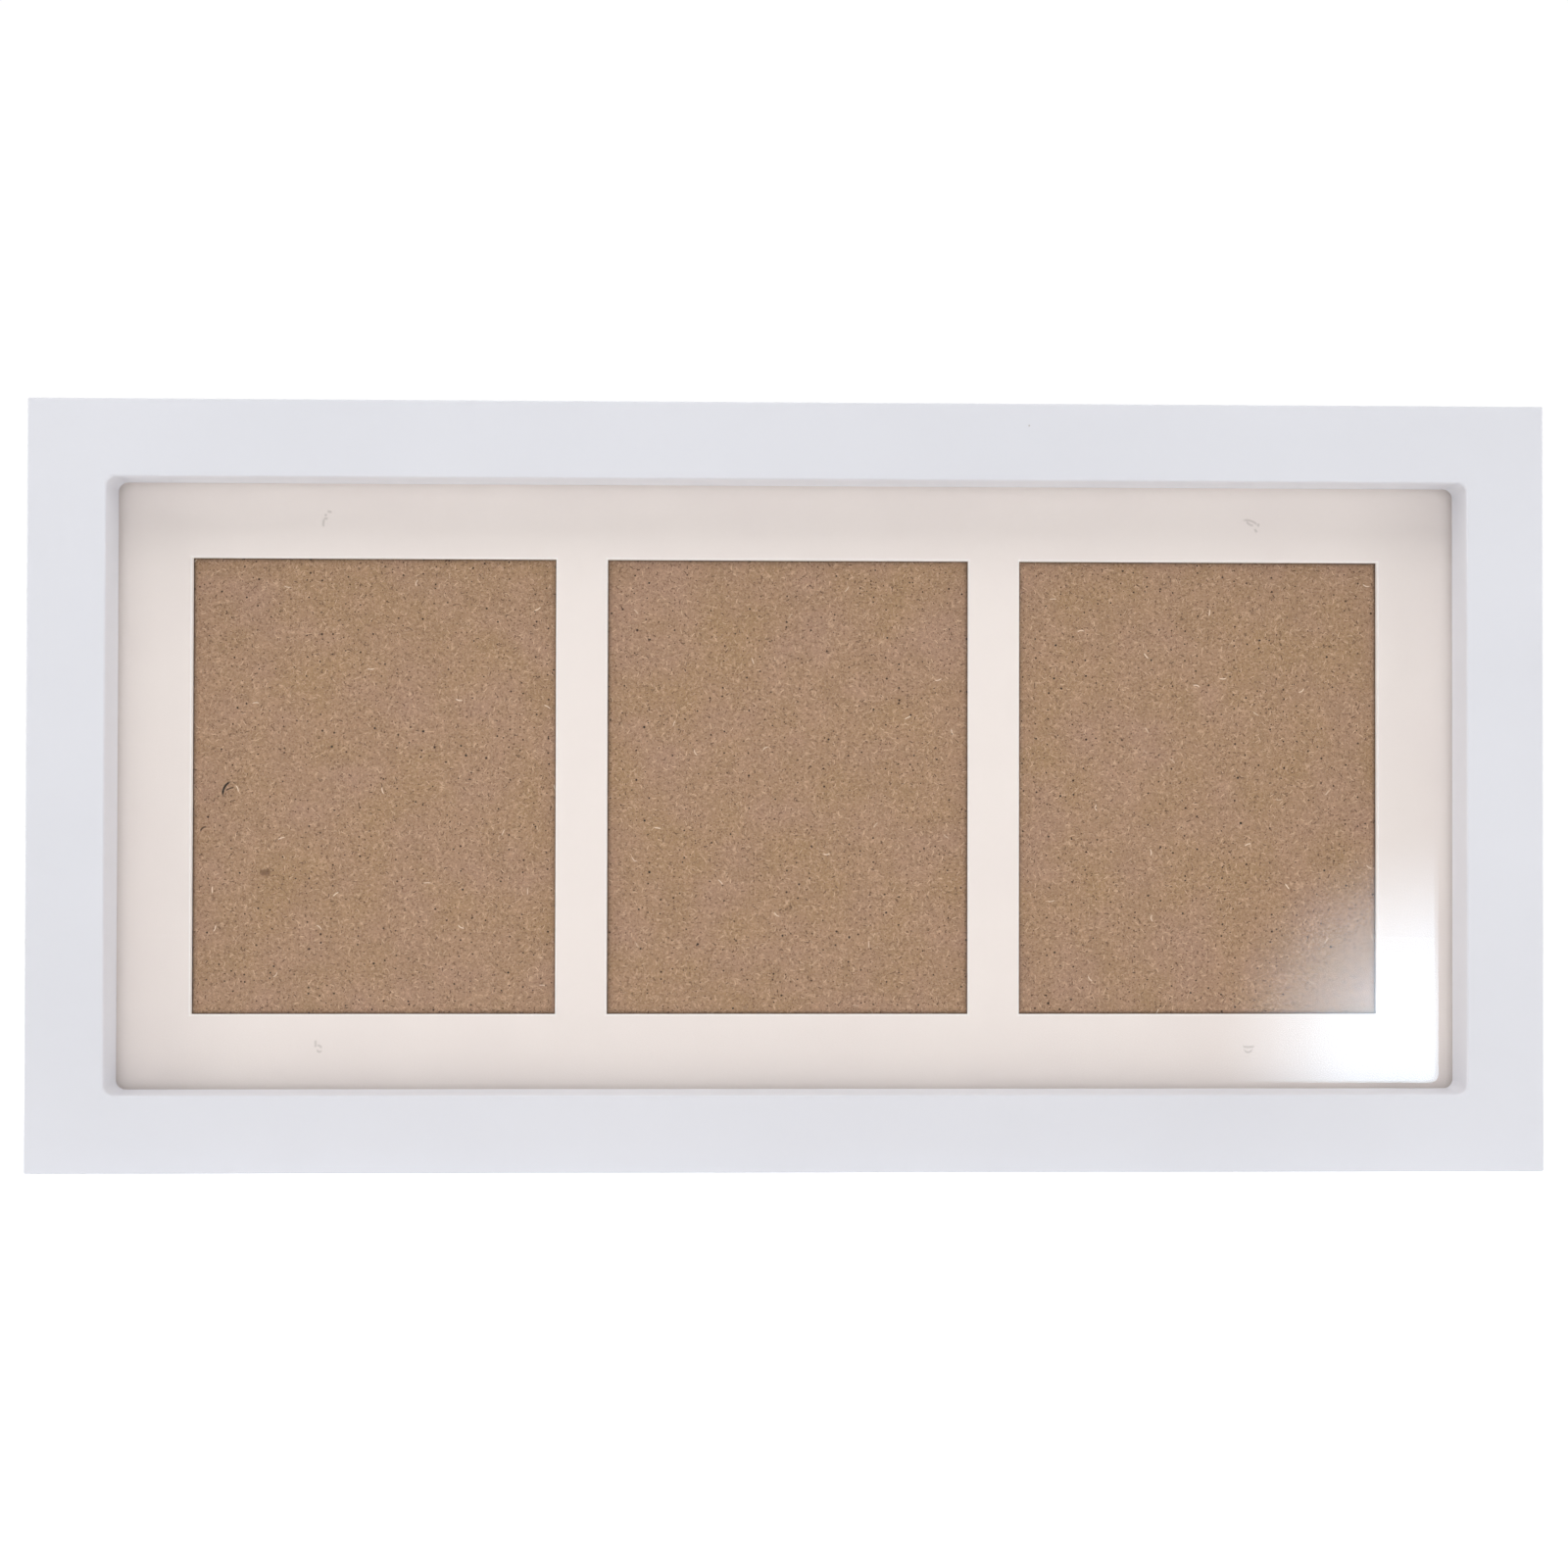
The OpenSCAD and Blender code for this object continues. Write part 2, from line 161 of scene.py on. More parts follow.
def node(tree, kind, sockets=(), **settings):
    """Adds a node with its settings, and puts a value or an output in each of its sockets."""
    made = tree.nodes.new("ShaderNode" + kind)
    for name, value in settings.items():
        setattr(made, name, value)
    for socket, value in dict(sockets).items():
        if isinstance(value, bpy.types.NodeSocket):
            tree.links.new(value, made.inputs[socket])
        else:
            made.inputs[socket].default_value = value
    return made


# What a Map Range node is given to fall from 1 to 0.
FALLING = {"To Min": 1.0, "To Max": 0.0}


def new_material(name, **values):
    """A material with plain values on its shader, and its tree, shader and Object coordinates."""
    material = bpy.data.materials.new(name)
    material.use_nodes = True
    tree = material.node_tree
    shader = tree.nodes["Principled BSDF"]
    for socket, value in values.items():
        shader.inputs[socket.replace("_", " ")].default_value = value
    return material, tree, shader, node(tree, "TexCoord").outputs["Object"]


def white_lacquer():
    """Satin lacquer sprayed on primed MDF: cool even white, faint orange peel, a few specks of dust."""
    drift, haze, peel, peel_depth = 70 * MM, 5 * MM, 1.3 * MM, 0.008 * MM
    speck_spacing, speck_r = 16 * MM, 0.16 * MM
    material, tree, shader, place = new_material("white_satin_lacquer", IOR=1.5)
    clouds = node(tree, "TexNoise", {"Vector": place, "Scale": 1 / drift}).outputs[0]
    tone = {0: clouds, 6: linear("#E3E4EA"), 7: linear("#DADBE1")}
    tone = node(tree, "Mix", tone, data_type="RGBA").outputs[2]
    cells = node(tree, "TexVoronoi", {"Vector": place, "Scale": 1 / speck_spacing}).outputs["Distance"]
    reach = speck_r / speck_spacing
    speck = {"Value": cells, "From Min": reach, "From Max": 2 * reach, **FALLING}
    tone = {0: node(tree, "MapRange", speck).outputs[0], 6: tone, 7: linear("#BDBAB8")}
    tone = node(tree, "Mix", tone, data_type="RGBA").outputs[2]
    tree.links.new(tone, shader.inputs["Base Color"])
    gloss = node(tree, "TexNoise", {"Vector": place, "Scale": 1 / haze}).outputs[0]
    gloss = node(tree, "MapRange", {"Value": gloss, "To Min": 0.32, "To Max": 0.48}).outputs[0]
    tree.links.new(gloss, shader.inputs["Roughness"])
    skin = node(tree, "TexNoise", {"Vector": place, "Scale": 1 / peel}).outputs[0]
    relief = node(tree, "Bump", {"Height": skin, "Distance": peel_depth}).outputs[0]
    tree.links.new(relief, shader.inputs["Normal"])
    return material


rim_w = 20 * MM
rear_rail_w = 13.5 * MM
cutter_r = 2.5 * MM
lip_ease = 0.9 * MM
outer_ease = 0.45 * MM
rebate_ease = 0.3 * MM
screw_r = 1.5 * MM
screw_depth = 10 * MM
body_lo, body_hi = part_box("frame_body")
glass_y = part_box("glazing_pane")[0].y
rear_y = body_hi.y
mid_z = body_hi.z / 2
turn_joints = [joint for joint in frame["joints"] if joint["name"].startswith("turn_")]
screw_places = [Vector(joint["pos_m"]) for joint in turn_joints]


def outline(edge, y, inset):
    """Whether an edge lies in plane y, on the outline that far inside the board's outer faces."""
    point = middle(edge)
    inside = abs(point.x) < body_hi.x - inset + TINY and abs(point.z - mid_z) < mid_z - inset + TINY
    return inside and all(abs(corner.co.y - y) < TINY for corner in edge.verts)


def outer_faces(point):
    """On how many of the board's outer faces a point lies."""
    return sum(abs(point[i] - end[i]) < TINY for i in range(3) for end in (body_lo, body_hi))


routed_frame = begin_box("routed_frame", body_lo, body_hi)
for side, rail_w, depth in ((-1, rim_w, glass_y - body_lo.y), (1, rear_rail_w, rear_y - glass_y)):
    select("FACE", lambda face: face.normal.y * side > 0.99 and outer_faces(middle(face)) == 1)
    bpy.ops.mesh.inset(thickness=rail_w)
    extrude(0, -side * depth, 0)
    select(
        "EDGE",
        lambda edge: along(edge, 1) and middle(edge).y * side > 0 and not outer_faces(middle(edge)),
    )
    ease(cutter_r, steps=8)
select("FACE", lambda face: abs(face.normal.y) > 0.99 and abs(middle(face).y - glass_y) < TINY)
bpy.ops.mesh.delete(type="ONLY_FACE")
select("EDGE", lambda edge: all(abs(corner.co.y - glass_y) < TINY for corner in edge.verts))
bpy.ops.mesh.bridge_edge_loops()
select("EDGE", lambda edge: outer_faces(middle(edge)) == 2)
ease(outer_ease)
for y, inset, radius in (
    (body_lo.y, rim_w, lip_ease),
    (rear_y, rear_rail_w, rebate_ease),
    (glass_y, rim_w, rebate_ease),
):
    select("EDGE", lambda edge: outline(edge, y, inset))
    ease(radius)
for place in screw_places:
    bore(routed_frame, (place.x, rear_y, place.z), screw_r, screw_depth)
close(routed_frame, white_lacquer())
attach(routed_frame, "frame")
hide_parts("frame_body")


# Glass. The real one is a pane of 2 mm float glass, cut to size with its edges seamed on a belt, which
# drops into the rebate against the lip. It is clear and mirrors what stands in front of it.
def float_glass():
    """Coated float glass: clear, smooth, low in glare. Soft light goes through to what lies behind."""
    material, tree, shader, _ = new_material("clear_float_glass", Roughness=0.0, IOR=1.33)
    shader.inputs["Transmission Weight"].default_value = 1.0
    shader.inputs["Base Color"].default_value = (1, 1, 1, 1)
    rays = node(tree, "LightPath")
    soft = {0: rays.outputs["Is Shadow Ray"], 1: rays.outputs["Is Diffuse Ray"]}
    soft = node(tree, "Math", soft, operation="MAXIMUM").outputs[0]
    through = node(tree, "BsdfTransparent", {"Color": (1, 1, 1, 1)}).outputs[0]
    surface = node(tree, "MixShader", {0: soft, 1: shader.outputs[0], 2: through}).outputs[0]
    tree.links.new(surface, tree.nodes["Material Output"].inputs["Surface"])
    return material


seam = 0.25 * MM
glass_pane = begin_box("glass_pane", *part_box("glazing_pane"))
bpy.ops.mesh.select_all(action="SELECT")
ease(seam, steps=1)
close(glass_pane, float_glass())
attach(glass_pane, "frame")
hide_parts("glazing_pane")


# Mat. The real one is a cream card with a white core, with three windows punched straight through it.
# The punch draws the paper in at each window, so that a hair of the core shows all round. Four small
# marks on its face show where the glue behind was pressed on.
def slice_at(axis, *places):
    """Divides the open piece by planes square to an axis."""
    for place in places:
        point, normal = Vector(), Vector()
        point[axis], normal[axis] = place, 1
        bpy.ops.mesh.select_all(action="SELECT")
        bpy.ops.mesh.bisect(plane_co=point, plane_no=normal)


def stroke(tree, local, length, width, bend):
    """A short curved line: 1 on it, 0 beside it. Local runs along it in X and across it in Y."""
    parts = node(tree, "SeparateXYZ", {0: local})
    square = {0: parts.outputs[0], 1: parts.outputs[0]}
    square = node(tree, "Math", square, operation="MULTIPLY").outputs[0]
    sag = {0: square, 1: bend, 2: parts.outputs[1]}
    sag = node(tree, "Math", sag, operation="MULTIPLY_ADD").outputs[0]
    across = node(tree, "Math", {0: sag}, operation="ABSOLUTE").outputs[0]
    edge = {"Value": across, "From Min": 0.3 * width, "From Max": 0.7 * width, **FALLING}
    edge = node(tree, "MapRange", edge).outputs[0]
    reach = node(tree, "Math", {0: parts.outputs[0]}, operation="ABSOLUTE").outputs[0]
    end = {"Value": reach, "From Min": 0.3 * length, "From Max": 0.5 * length, **FALLING}
    end = node(tree, "MapRange", end).outputs[0]
    return node(tree, "Math", {0: edge, 1: end}, operation="MULTIPLY").outputs[0]


def stroke_at(tree, flat, x, y, angle, length, width, sag):
    """A stroke at a place of a flat pattern, at an angle in degrees, bent by that sag at its ends."""
    local = {0: flat, 1: (x, y, 0)}
    local = node(tree, "VectorMath", local, operation="SUBTRACT").outputs[0]
    local = {"Vector": local, "Angle": math.radians(-angle)}
    local = node(tree, "VectorRotate", local, rotation_type="Z_AXIS").outputs[0]
    return stroke(tree, local, length, width, sag / (length / 2) ** 2)


def cream_card():
    """Cream paper on mat card: matt, with a fine tooth, a faint drift of tone and pressed marks."""
    drift, tooth_size, tooth_height = 30 * MM, 0.5 * MM, 0.03 * MM
    material, tree, shader, place = new_material("cream_mat_paper", Roughness=0.8, IOR=1.45)
    shader.inputs["Specular IOR Level"].default_value = 0.3
    flat = {"Vector": place, "Rotation": (math.radians(-90), 0, 0)}
    flat = node(tree, "Mapping", flat).outputs[0]
    marks = None
    for side, level, dx, dz, angle, length, sag in mark_strokes:
        x, z = mat_x + side * mark_x + dx * MM, mid_z + level * mark_z + dz * MM
        line = stroke_at(tree, flat, x, z, angle, length * MM, mark_w, sag * MM)
        if marks:
            line = node(tree, "Math", {0: marks, 1: line}, operation="MAXIMUM").outputs[0]
        marks = line
    clouds = node(tree, "TexNoise", {"Vector": place, "Scale": 1 / drift}).outputs[0]
    tone = {0: clouds, 6: linear("#F6EDE7"), 7: linear("#F0E6E1")}
    tone = node(tree, "Mix", tone, data_type="RGBA").outputs[2]
    faint = node(tree, "Math", {0: marks, 1: mark_strength}, operation="MULTIPLY").outputs[0]
    tone = {0: faint, 6: tone, 7: linear("#A89D96")}
    tone = node(tree, "Mix", tone, data_type="RGBA").outputs[2]
    tree.links.new(tone, shader.inputs["Base Color"])
    tooth = {"Vector": place, "Scale": 1 / tooth_size, "Detail": 3.0}
    tooth = node(tree, "TexNoise", tooth).outputs[0]
    height = node(tree, "Math", {0: tooth, 1: marks}, operation="SUBTRACT").outputs[0]
    relief = node(tree, "Bump", {"Height": height, "Distance": tooth_height}).outputs[0]
    tree.links.new(relief, shader.inputs["Normal"])
    return material


def card_core():
    """The white pulp core of the mat card, as a punch leaves it: bright, matt and slightly fibrous."""
    pulp_size, pulp_height = 0.3 * MM, 0.02 * MM
    material, tree, shader, place = new_material("white_card_core", Roughness=0.9)
    pulp = {"Vector": place, "Scale": 1 / pulp_size, "Detail": 3.0}
    pulp = node(tree, "TexNoise", pulp).outputs[0]
    tone = {0: pulp, 6: linear("#F4EEEA"), 7: linear("#FFFBF8")}
    tone = node(tree, "Mix", tone, data_type="RGBA").outputs[2]
    tree.links.new(tone, shader.inputs["Base Color"])
    relief = node(tree, "Bump", {"Height": pulp, "Distance": pulp_height}).outputs[0]
    tree.links.new(relief, shader.inputs["Normal"])
    return material


window_w, window_h, window_gap = 95 * MM, 119.5 * MM, 13.5 * MM
punch_draw = 0.4 * MM
mat_lo, mat_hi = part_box("window_mat")
mat_x = -0.35 * MM
window_xs = [mat_x + i * (window_w + window_gap) for i in (-1, 0, 1)]
mark_x, mark_z, mark_w, mark_strength = 122 * MM, 69.4 * MM, 0.6 * MM, 0.35
# The strokes of the marks: side, level, then across, up, angle in degrees, length and sag in mm.
mark_strokes = (
    (-1, 1, 0.1, -0.4, 84, 2.4, 0.1),
    (-1, 1, 0.7, 1.6, 0, 0.8, 0.0),
    (-1, 1, 0.7, 0.7, 0, 1.2, 0.0),
    (-1, 1, 1.7, 2.5, -10, 1.3, 0.0),
    (1, 1, 0.4, 1.3, -18, 4.6, 0.6),
    (1, 1, 2.4, 0.2, 75, 1.0, 0.0),
    (1, 1, 0.0, 0.4, -32, 2.5, -0.3),
    (1, 1, 1.7, -1.3, -57, 1.3, 0.0),
    (-1, -1, -1.4, 2.0, 90, 2.1, 0.0),
    (-1, -1, -0.5, -0.1, -10, 1.6, -0.5),
    (-1, -1, -0.3, 1.4, -30, 1.6, 0.2),
    (1, -1, -0.3, 1.0, 0, 3.6, -0.2),
    (1, -1, -0.3, -0.4, 4, 2.6, -0.9),
)


def in_window(point, *xs):
    """Whether a point lies in a window that is centred on one of those places, or on its edge."""
    level = abs(point.z - mid_z) < window_h / 2 + TINY
    return level and any(abs(point.x - x) < window_w / 2 + TINY for x in xs)


mat_card = begin_box("mat_card", mat_lo, mat_hi)
slice_at(0, *(x + side * window_w / 2 for x in window_xs for side in (-1, 1)))
slice_at(2, mid_z - window_h / 2, mid_z + window_h / 2)
for x in window_xs:
    select("FACE", lambda face: abs(face.normal.y) > 0.99 and in_window(middle(face), x))
    bpy.ops.mesh.bridge_edge_loops()
mat_card.data.materials.append(cream_card())
mat_card.data.materials.append(card_core())
select("FACE", lambda face: in_window(middle(face), *window_xs))
mat_card.active_material_index = 1
bpy.ops.object.material_slot_assign()
select(
    "EDGE",
    lambda edge: abs(middle(edge).y - mat_lo.y) < TINY and in_window(middle(edge), *window_xs),
)
bpy.ops.mesh.bevel(offset=punch_draw, segments=2, affect="EDGES", material=1)
close(mat_card)
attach(mat_card, "frame")
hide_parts("window_mat")


# Glue dabs. Four dabs of hot-melt glue hold the mat card to the hardboard. Each is dropped on hot and
# pressed flat, so it is a low disc with a rounded rim and a tongue where it was squeezed out.
def hot_melt_glue():
    """Set hot-melt glue: milky, waxy and slightly see-through."""
    material, tree, shader, place = new_material("hot_melt_glue", Roughness=0.35, IOR=1.49)
    shader.inputs["Subsurface Weight"].default_value = 0.4
    shader.inputs["Subsurface Scale"].default_value = 1 * MM
    haze = node(tree, "TexNoise", {"Vector": place, "Scale": 1 / (1.2 * MM)}).outputs[0]
    tone = {0: haze, 6: linear("#E8DCB8"), 7: linear("#F2EAD2")}
    tone = node(tree, "Mix", tone, data_type="RGBA").outputs[2]
    tree.links.new(tone, shader.inputs["Base Color"])
    relief = node(tree, "Bump", {"Height": haze, "Distance": 0.05 * MM}).outputs[0]
    tree.links.new(relief, shader.inputs["Normal"])
    return material


dab_r, tongue_reach, dab_ease = 2.4 * MM, 0.55, 0.12 * MM
dab_lo, dab_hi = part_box("mat_glue_dabs")
glue = hot_melt_glue()
for end, x in (("left", mat_x - mark_x), ("right", mat_x + mark_x)):
    for level, z in (("lower", mid_z - mark_z), ("upper", mid_z + mark_z)):
        name, place = f"glue_dab_{level}_{end}", (x, (dab_lo.y + dab_hi.y) / 2, z)
        shape = {"radius": dab_r, "depth": dab_hi.y - dab_lo.y, "vertices": 40}
        turn = (math.radians(90), 0, 0)
        dab = begin(name, bpy.ops.mesh.primitive_cylinder_add, place, turn=turn, **shape)
        select("VERT", lambda corner: (corner.co.x - x) + (corner.co.z - z) > 1.2 * dab_r)
        bpy.ops.transform.translate(value=(tongue_reach * dab_r, 0, tongue_reach * dab_r))
        select("EDGE", lambda edge: not along(edge, 1))
        ease(dab_ease, steps=2)
        close(dab, glue)
        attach(dab, "frame")
        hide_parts("mat_glue_dabs")


# Hardboard back. The real one is a sawn piece of 3 mm raw hardboard, which closes the rebate and shows
# brown in the windows. It is drilled for the two rivets of the strut's hinge.
def curls(tree, flat, size, width, shift):
    """Matted fibres: winding lines where one noise crosses its middle, broken where another is low."""
    moved = node(tree, "Mapping", {"Vector": flat, "Location": (shift, shift, shift)}).outputs[0]
    waves = {"Vector": moved, "Scale": 1 / size, "Detail": 1.0, "Distortion": 0.6}
    waves = node(tree, "TexNoise", waves).outputs[0]
    off = node(tree, "Math", {0: waves, 1: 0.5}, operation="SUBTRACT").outputs[0]
    off = node(tree, "Math", {0: off}, operation="ABSOLUTE").outputs[0]
    line = {"Value": off, "From Min": 0.0, "From Max": width, **FALLING}
    line = node(tree, "MapRange", line).outputs[0]
    breaks = node(tree, "TexNoise", {"Vector": moved, "Scale": 1.2 / size}).outputs[0]
    kept = node(tree, "MapRange", {"Value": breaks, "From Min": 0.46, "From Max": 0.6}).outputs[0]
    return node(tree, "Math", {0: line, 1: kept}, operation="MULTIPLY").outputs[0]


def strands(tree, flat, spacing, length, width, share, shift):
    """Short curved fibres, each its own way: at most one in each cell, in a share of the cells."""
    moved = node(tree, "Mapping", {"Vector": flat, "Location": (shift, -shift, 0)}).outputs[0]
    cell = node(tree, "TexVoronoi", {"Vector": moved, "Scale": 1 / spacing}, voronoi_dimensions="2D")
    draw = node(tree, "SeparateColor", {0: cell.outputs["Color"]})
    local = {0: moved, 1: cell.outputs["Position"]}
    local = node(tree, "VectorMath", local, operation="SUBTRACT").outputs[0]
    angle = node(tree, "Math", {0: draw.outputs[0], 1: 2 * math.pi}, operation="MULTIPLY").outputs[0]
    local = {"Vector": local, "Angle": angle}
    local = node(tree, "VectorRotate", local, rotation_type="Z_AXIS").outputs[0]
    bend = {"Value": draw.outputs[1], "To Min": -0.8 / length, "To Max": 0.8 / length}
    fibre = stroke(tree, local, length, width, node(tree, "MapRange", bend).outputs[0])
    there = node(tree, "MapRange", {"Value": draw.outputs[2], "From Min": 1 - share}).outputs[0]
    there = node(tree, "Math", {0: there, 1: 0.4}, operation="POWER").outputs[0]
    return node(tree, "Math", {0: fibre, 1: there}, operation="MULTIPLY").outputs[0]


def specks(tree, flat, spacing, radius, share, shift):
    """Dark specks of bark, of all sizes up to that radius: at most one a cell, crowded in patches."""
    moved = node(tree, "Mapping", {"Vector": flat, "Location": (shift, shift, 0)}).outputs[0]
    cell = node(tree, "TexVoronoi", {"Vector": moved, "Scale": 1 / spacing}, voronoi_dimensions="2D")
    draw = node(tree, "SeparateColor", {0: cell.outputs["Color"]})
    crowd = {"Vector": cell.outputs["Position"], "Scale": 0.2 / spacing}
    crowd = node(tree, "TexNoise", crowd).outputs[0]
    crowd = node(tree, "Math", {0: draw.outputs[0], 1: crowd}, operation="ADD").outputs[0]
    size = {"Value": crowd, "From Min": 1.5 - share, "From Max": 1.7, "To Max": radius / spacing}
    size = node(tree, "MapRange", size).outputs[0]
    inner = node(tree, "Math", {0: size, 1: 0.55}, operation="MULTIPLY").outputs[0]
    speck = {"Value": cell.outputs["Distance"], "From Min": inner, "From Max": size, **FALLING}
    return node(tree, "MapRange", speck).outputs[0]


def painted_window_shadow(tree, place):
    """A painted shadow line round each window on the board's front: 1 at the card's edge, 0 further in.
    """
    parts = node(tree, "SeparateXYZ", {0: place})
    pitch = window_w + window_gap
    across = {0: parts.outputs[0], 1: mat_x - pitch / 2, 2: mat_x + pitch / 2}
    across = node(tree, "Math", across, operation="WRAP").outputs[0]
    sides = []
    for value, centre, size in ((across, mat_x, window_w), (parts.outputs[2], mid_z, window_h)):
        off = node(tree, "Math", {0: value, 1: centre}, operation="SUBTRACT").outputs[0]
        off = node(tree, "Math", {0: off}, operation="ABSOLUTE").outputs[0]
        sides.append(node(tree, "Math", {0: off, 1: size / 2}, operation="SUBTRACT").outputs[0])
    edge = node(tree, "Math", {0: sides[0], 1: sides[1]}, operation="MAXIMUM").outputs[0]
    edge = node(tree, "MapRange", {"Value": edge, "From Min": -window_shadow_w, "From Max": 0.0}).outputs[0]
    edge = node(tree, "Math", {0: edge, 1: 4.0}, operation="POWER").outputs[0]
    front = {0: parts.outputs[1], 1: back_lo.y + TINY}
    front = node(tree, "Math", front, operation="LESS_THAN").outputs[0]
    return node(tree, "Math", {0: edge, 1: front}, operation="MULTIPLY").outputs[0]


def hardboard(name, flecks=(), with_window_shadow=False):
    """Raw hardboard: warm brown pressed fibre, mottled, with pale and dark fibres and dark specks."""
    material, tree, shader, place = new_material(name, Roughness=0.8, IOR=1.45)
    shader.inputs["Specular IOR Level"].default_value = 0.25
    flat = node(tree, "Mapping", {"Vector": place, "Rotation": (math.radians(-90), 0, 0)}).outputs[0]
    mottle = {"Vector": place, "Scale": 1 / (16 * MM), "Roughness": 0.6}
    mottle = node(tree, "TexNoise", mottle).outputs[0]
    mottle = node(tree, "MapRange", {"Value": mottle, "From Min": 0.3, "From Max": 0.7}).outputs[0]
    tone = {0: mottle, 6: linear("#A48361"), 7: linear("#A7856D")}
    tone = node(tree, "Mix", tone, data_type="RGBA").outputs[2]
    for size, depth in ((4, 0.06), (0.5, 0.14)):
        grain = node(tree, "TexNoise", {"Vector": place, "Scale": 1 / (size * MM)}).outputs[0]
        low, high = 1 - depth, 1 + depth
        grain = {"Value": grain, "From Min": 0.25, "From Max": 0.75, "To Min": low, "To Max": high}
        grain = node(tree, "MapRange", grain).outputs[0]
        tone = {0: 1.0, 6: tone, 7: grain}
        tone = node(tree, "Mix", tone, data_type="RGBA", blend_type="MULTIPLY").outputs[2]
    layers = []
    # Real fibres are about 0.05 mm thick. They are drawn 0.2 mm and thicker, so that they show.
    for size, width, strength, colour, shift in (
        (1.0, 0.07, 0.7, "#CCA98A", 0.1),
        (1.5, 0.05, 0.7, "#D0AE90", 0.3),
        (1.1, 0.07, 0.7, "#6E4F39", 0.5),
    ):
        layers.append((curls(tree, flat, size * MM, width, shift), strength, colour))
    for spacing, length, width, share, strength, colour, shift in (
        (2.6, 1.5, 0.2, 0.5, 0.9, "#D6B697", 0.9),
        (4.0, 1.2, 0.24, 0.5, 0.9, "#4E3424", 1.1),
        (15.0, 2.0, 0.26, 0.45, 0.9, "#F0DCC4", 1.4),
    ):
        fibres = strands(tree, flat, spacing * MM, length * MM, width * MM, share, shift)
        layers.append((fibres, strength, colour))
    for spacing, radius, share, strength, colour, shift in (
        (1.4, 0.32, 0.55, 0.9, "#4F3322", 1.3),
        (3.3, 0.42, 0.7, 1.0, "#382115", 1.7),
        (12.0, 0.5, 0.8, 1.0, "#170D08", 2.1),
    ):
        layers.append((specks(tree, flat, spacing * MM, radius * MM, share, shift), strength, colour))
    for x, z, angle, length, width, sag, strength, colour in flecks:
        fleck = stroke_at(tree, flat, x * MM, z * MM, angle, length * MM, width * MM, sag * MM)
        layers.append((fleck, strength, colour))
    # If asked, a near-black painted shadow line goes round each window on the front.
    if with_window_shadow:
        layers.append((painted_window_shadow(tree, place), window_shadow_strength, "#1C120C"))
    for share, strength, colour in layers:
        share = node(tree, "Math", {0: share, 1: strength}, operation="MULTIPLY").outputs[0]
        tone = node(tree, "Mix", {0: share, 6: tone, 7: linear(colour)}, data_type="RGBA").outputs[2]
    tree.links.new(tone, shader.inputs["Base Color"])
    relief = node(tree, "Bump", {"Height": grain, "Distance": 0.04 * MM}).outputs[0]
    tree.links.new(relief, shader.inputs["Normal"])
    return material


# Width and strength of the painted shadow line round the windows on the back's front.
window_shadow_w, window_shadow_strength = 2 * MM, 0.8
# Single flecks: across, up, angle in degrees, length, width and sag in mm, strength, colour.
board_flecks = (
    (-148.2, 98.6, 62, 4.8, 0.56, 0.8, 1.0, "#1A0F08"),
    (-146.9, 98.3, 22, 2.6, 0.36, 0.2, 0.9, "#3A2417"),
    (-153.9, 87.9, 40, 2.4, 0.44, 0.5, 0.9, "#3A2417"),
    (-137.5, 76.4, 10, 3.0, 1.6, 0.0, 0.7, "#6B4C36"),
)
saw_ease = 0.2 * MM
rivet_r, rivet_tail_r, rivet_tail_h = 1.5 * MM, 2.3 * MM, 0.4 * MM
rivet_head_r, rivet_head_h = 2.6 * MM, 1 * MM
overcut = 1 * MM
back_lo, back_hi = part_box("backing_board")
back_rivets_lo, back_rivets_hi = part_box("fixed_leaf_rivets")
rivet_x = back_rivets_hi.x - rivet_head_r
back_rivet_z = (back_rivets_lo.z + back_rivets_hi.z) / 2
hardboard_back = begin_box("hardboard_back", back_lo, back_hi)
bpy.ops.mesh.select_all(action="SELECT")
ease(saw_ease, steps=2)
for x in (-rivet_x, rivet_x):
    bore(hardboard_back, (x, back_hi.y, back_rivet_z), rivet_r, back_hi.y - back_lo.y + overcut)
    seat = (x, back_lo.y + rivet_tail_h, back_rivet_z)
    bore(hardboard_back, seat, rivet_tail_r, rivet_tail_h + overcut)
# The back's front gets the painted shadow line round each window.
close(hardboard_back, hardboard("raw_hardboard", board_flecks, with_window_shadow=True))
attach(hardboard_back, "frame")
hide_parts("backing_board")


# Turn buttons. Six stamped steel buttons hold the hardboard in its rebate. Each is a blank with a wide
# end and a narrow tip, a rib pressed along it, and a hole at the wide end for the screw it turns on.
def zinc_plated_steel():
    """Zinc-plated steel: silvery grey, blotched by the plating, with the fine grain of rolled strip."""
    material, tree, shader, place = new_material("zinc_plated_steel", Metallic=1.0)
    blotch = node(tree, "TexNoise", {"Vector": place, "Scale": 1 / (4 * MM), "Detail": 3.0}).outputs[0]
    tone = {0: blotch, 6: linear("#8F9499"), 7: linear("#B8B8B4")}
    tone = node(tree, "Mix", tone, data_type="RGBA").outputs[2]
    tree.links.new(tone, shader.inputs["Base Color"])
    dull = {"Value": blotch, "From Min": 0.3, "From Max": 0.7, "To Min": 0.26, "To Max": 0.44}
    tree.links.new(node(tree, "MapRange", dull).outputs[0], shader.inputs["Roughness"])
    rolled = node(tree, "Mapping", {"Vector": place, "Scale": (1, 1, 6)}).outputs[0]
    grain = {"Vector": rolled, "Scale": 1 / (0.9 * MM), "Detail": 4.0}
    grain = node(tree, "TexNoise", grain).outputs[0]
    relief = node(tree, "Bump", {"Height": grain, "Distance": 0.012 * MM}).outputs[0]
    tree.links.new(relief, shader.inputs["Normal"])
    return material


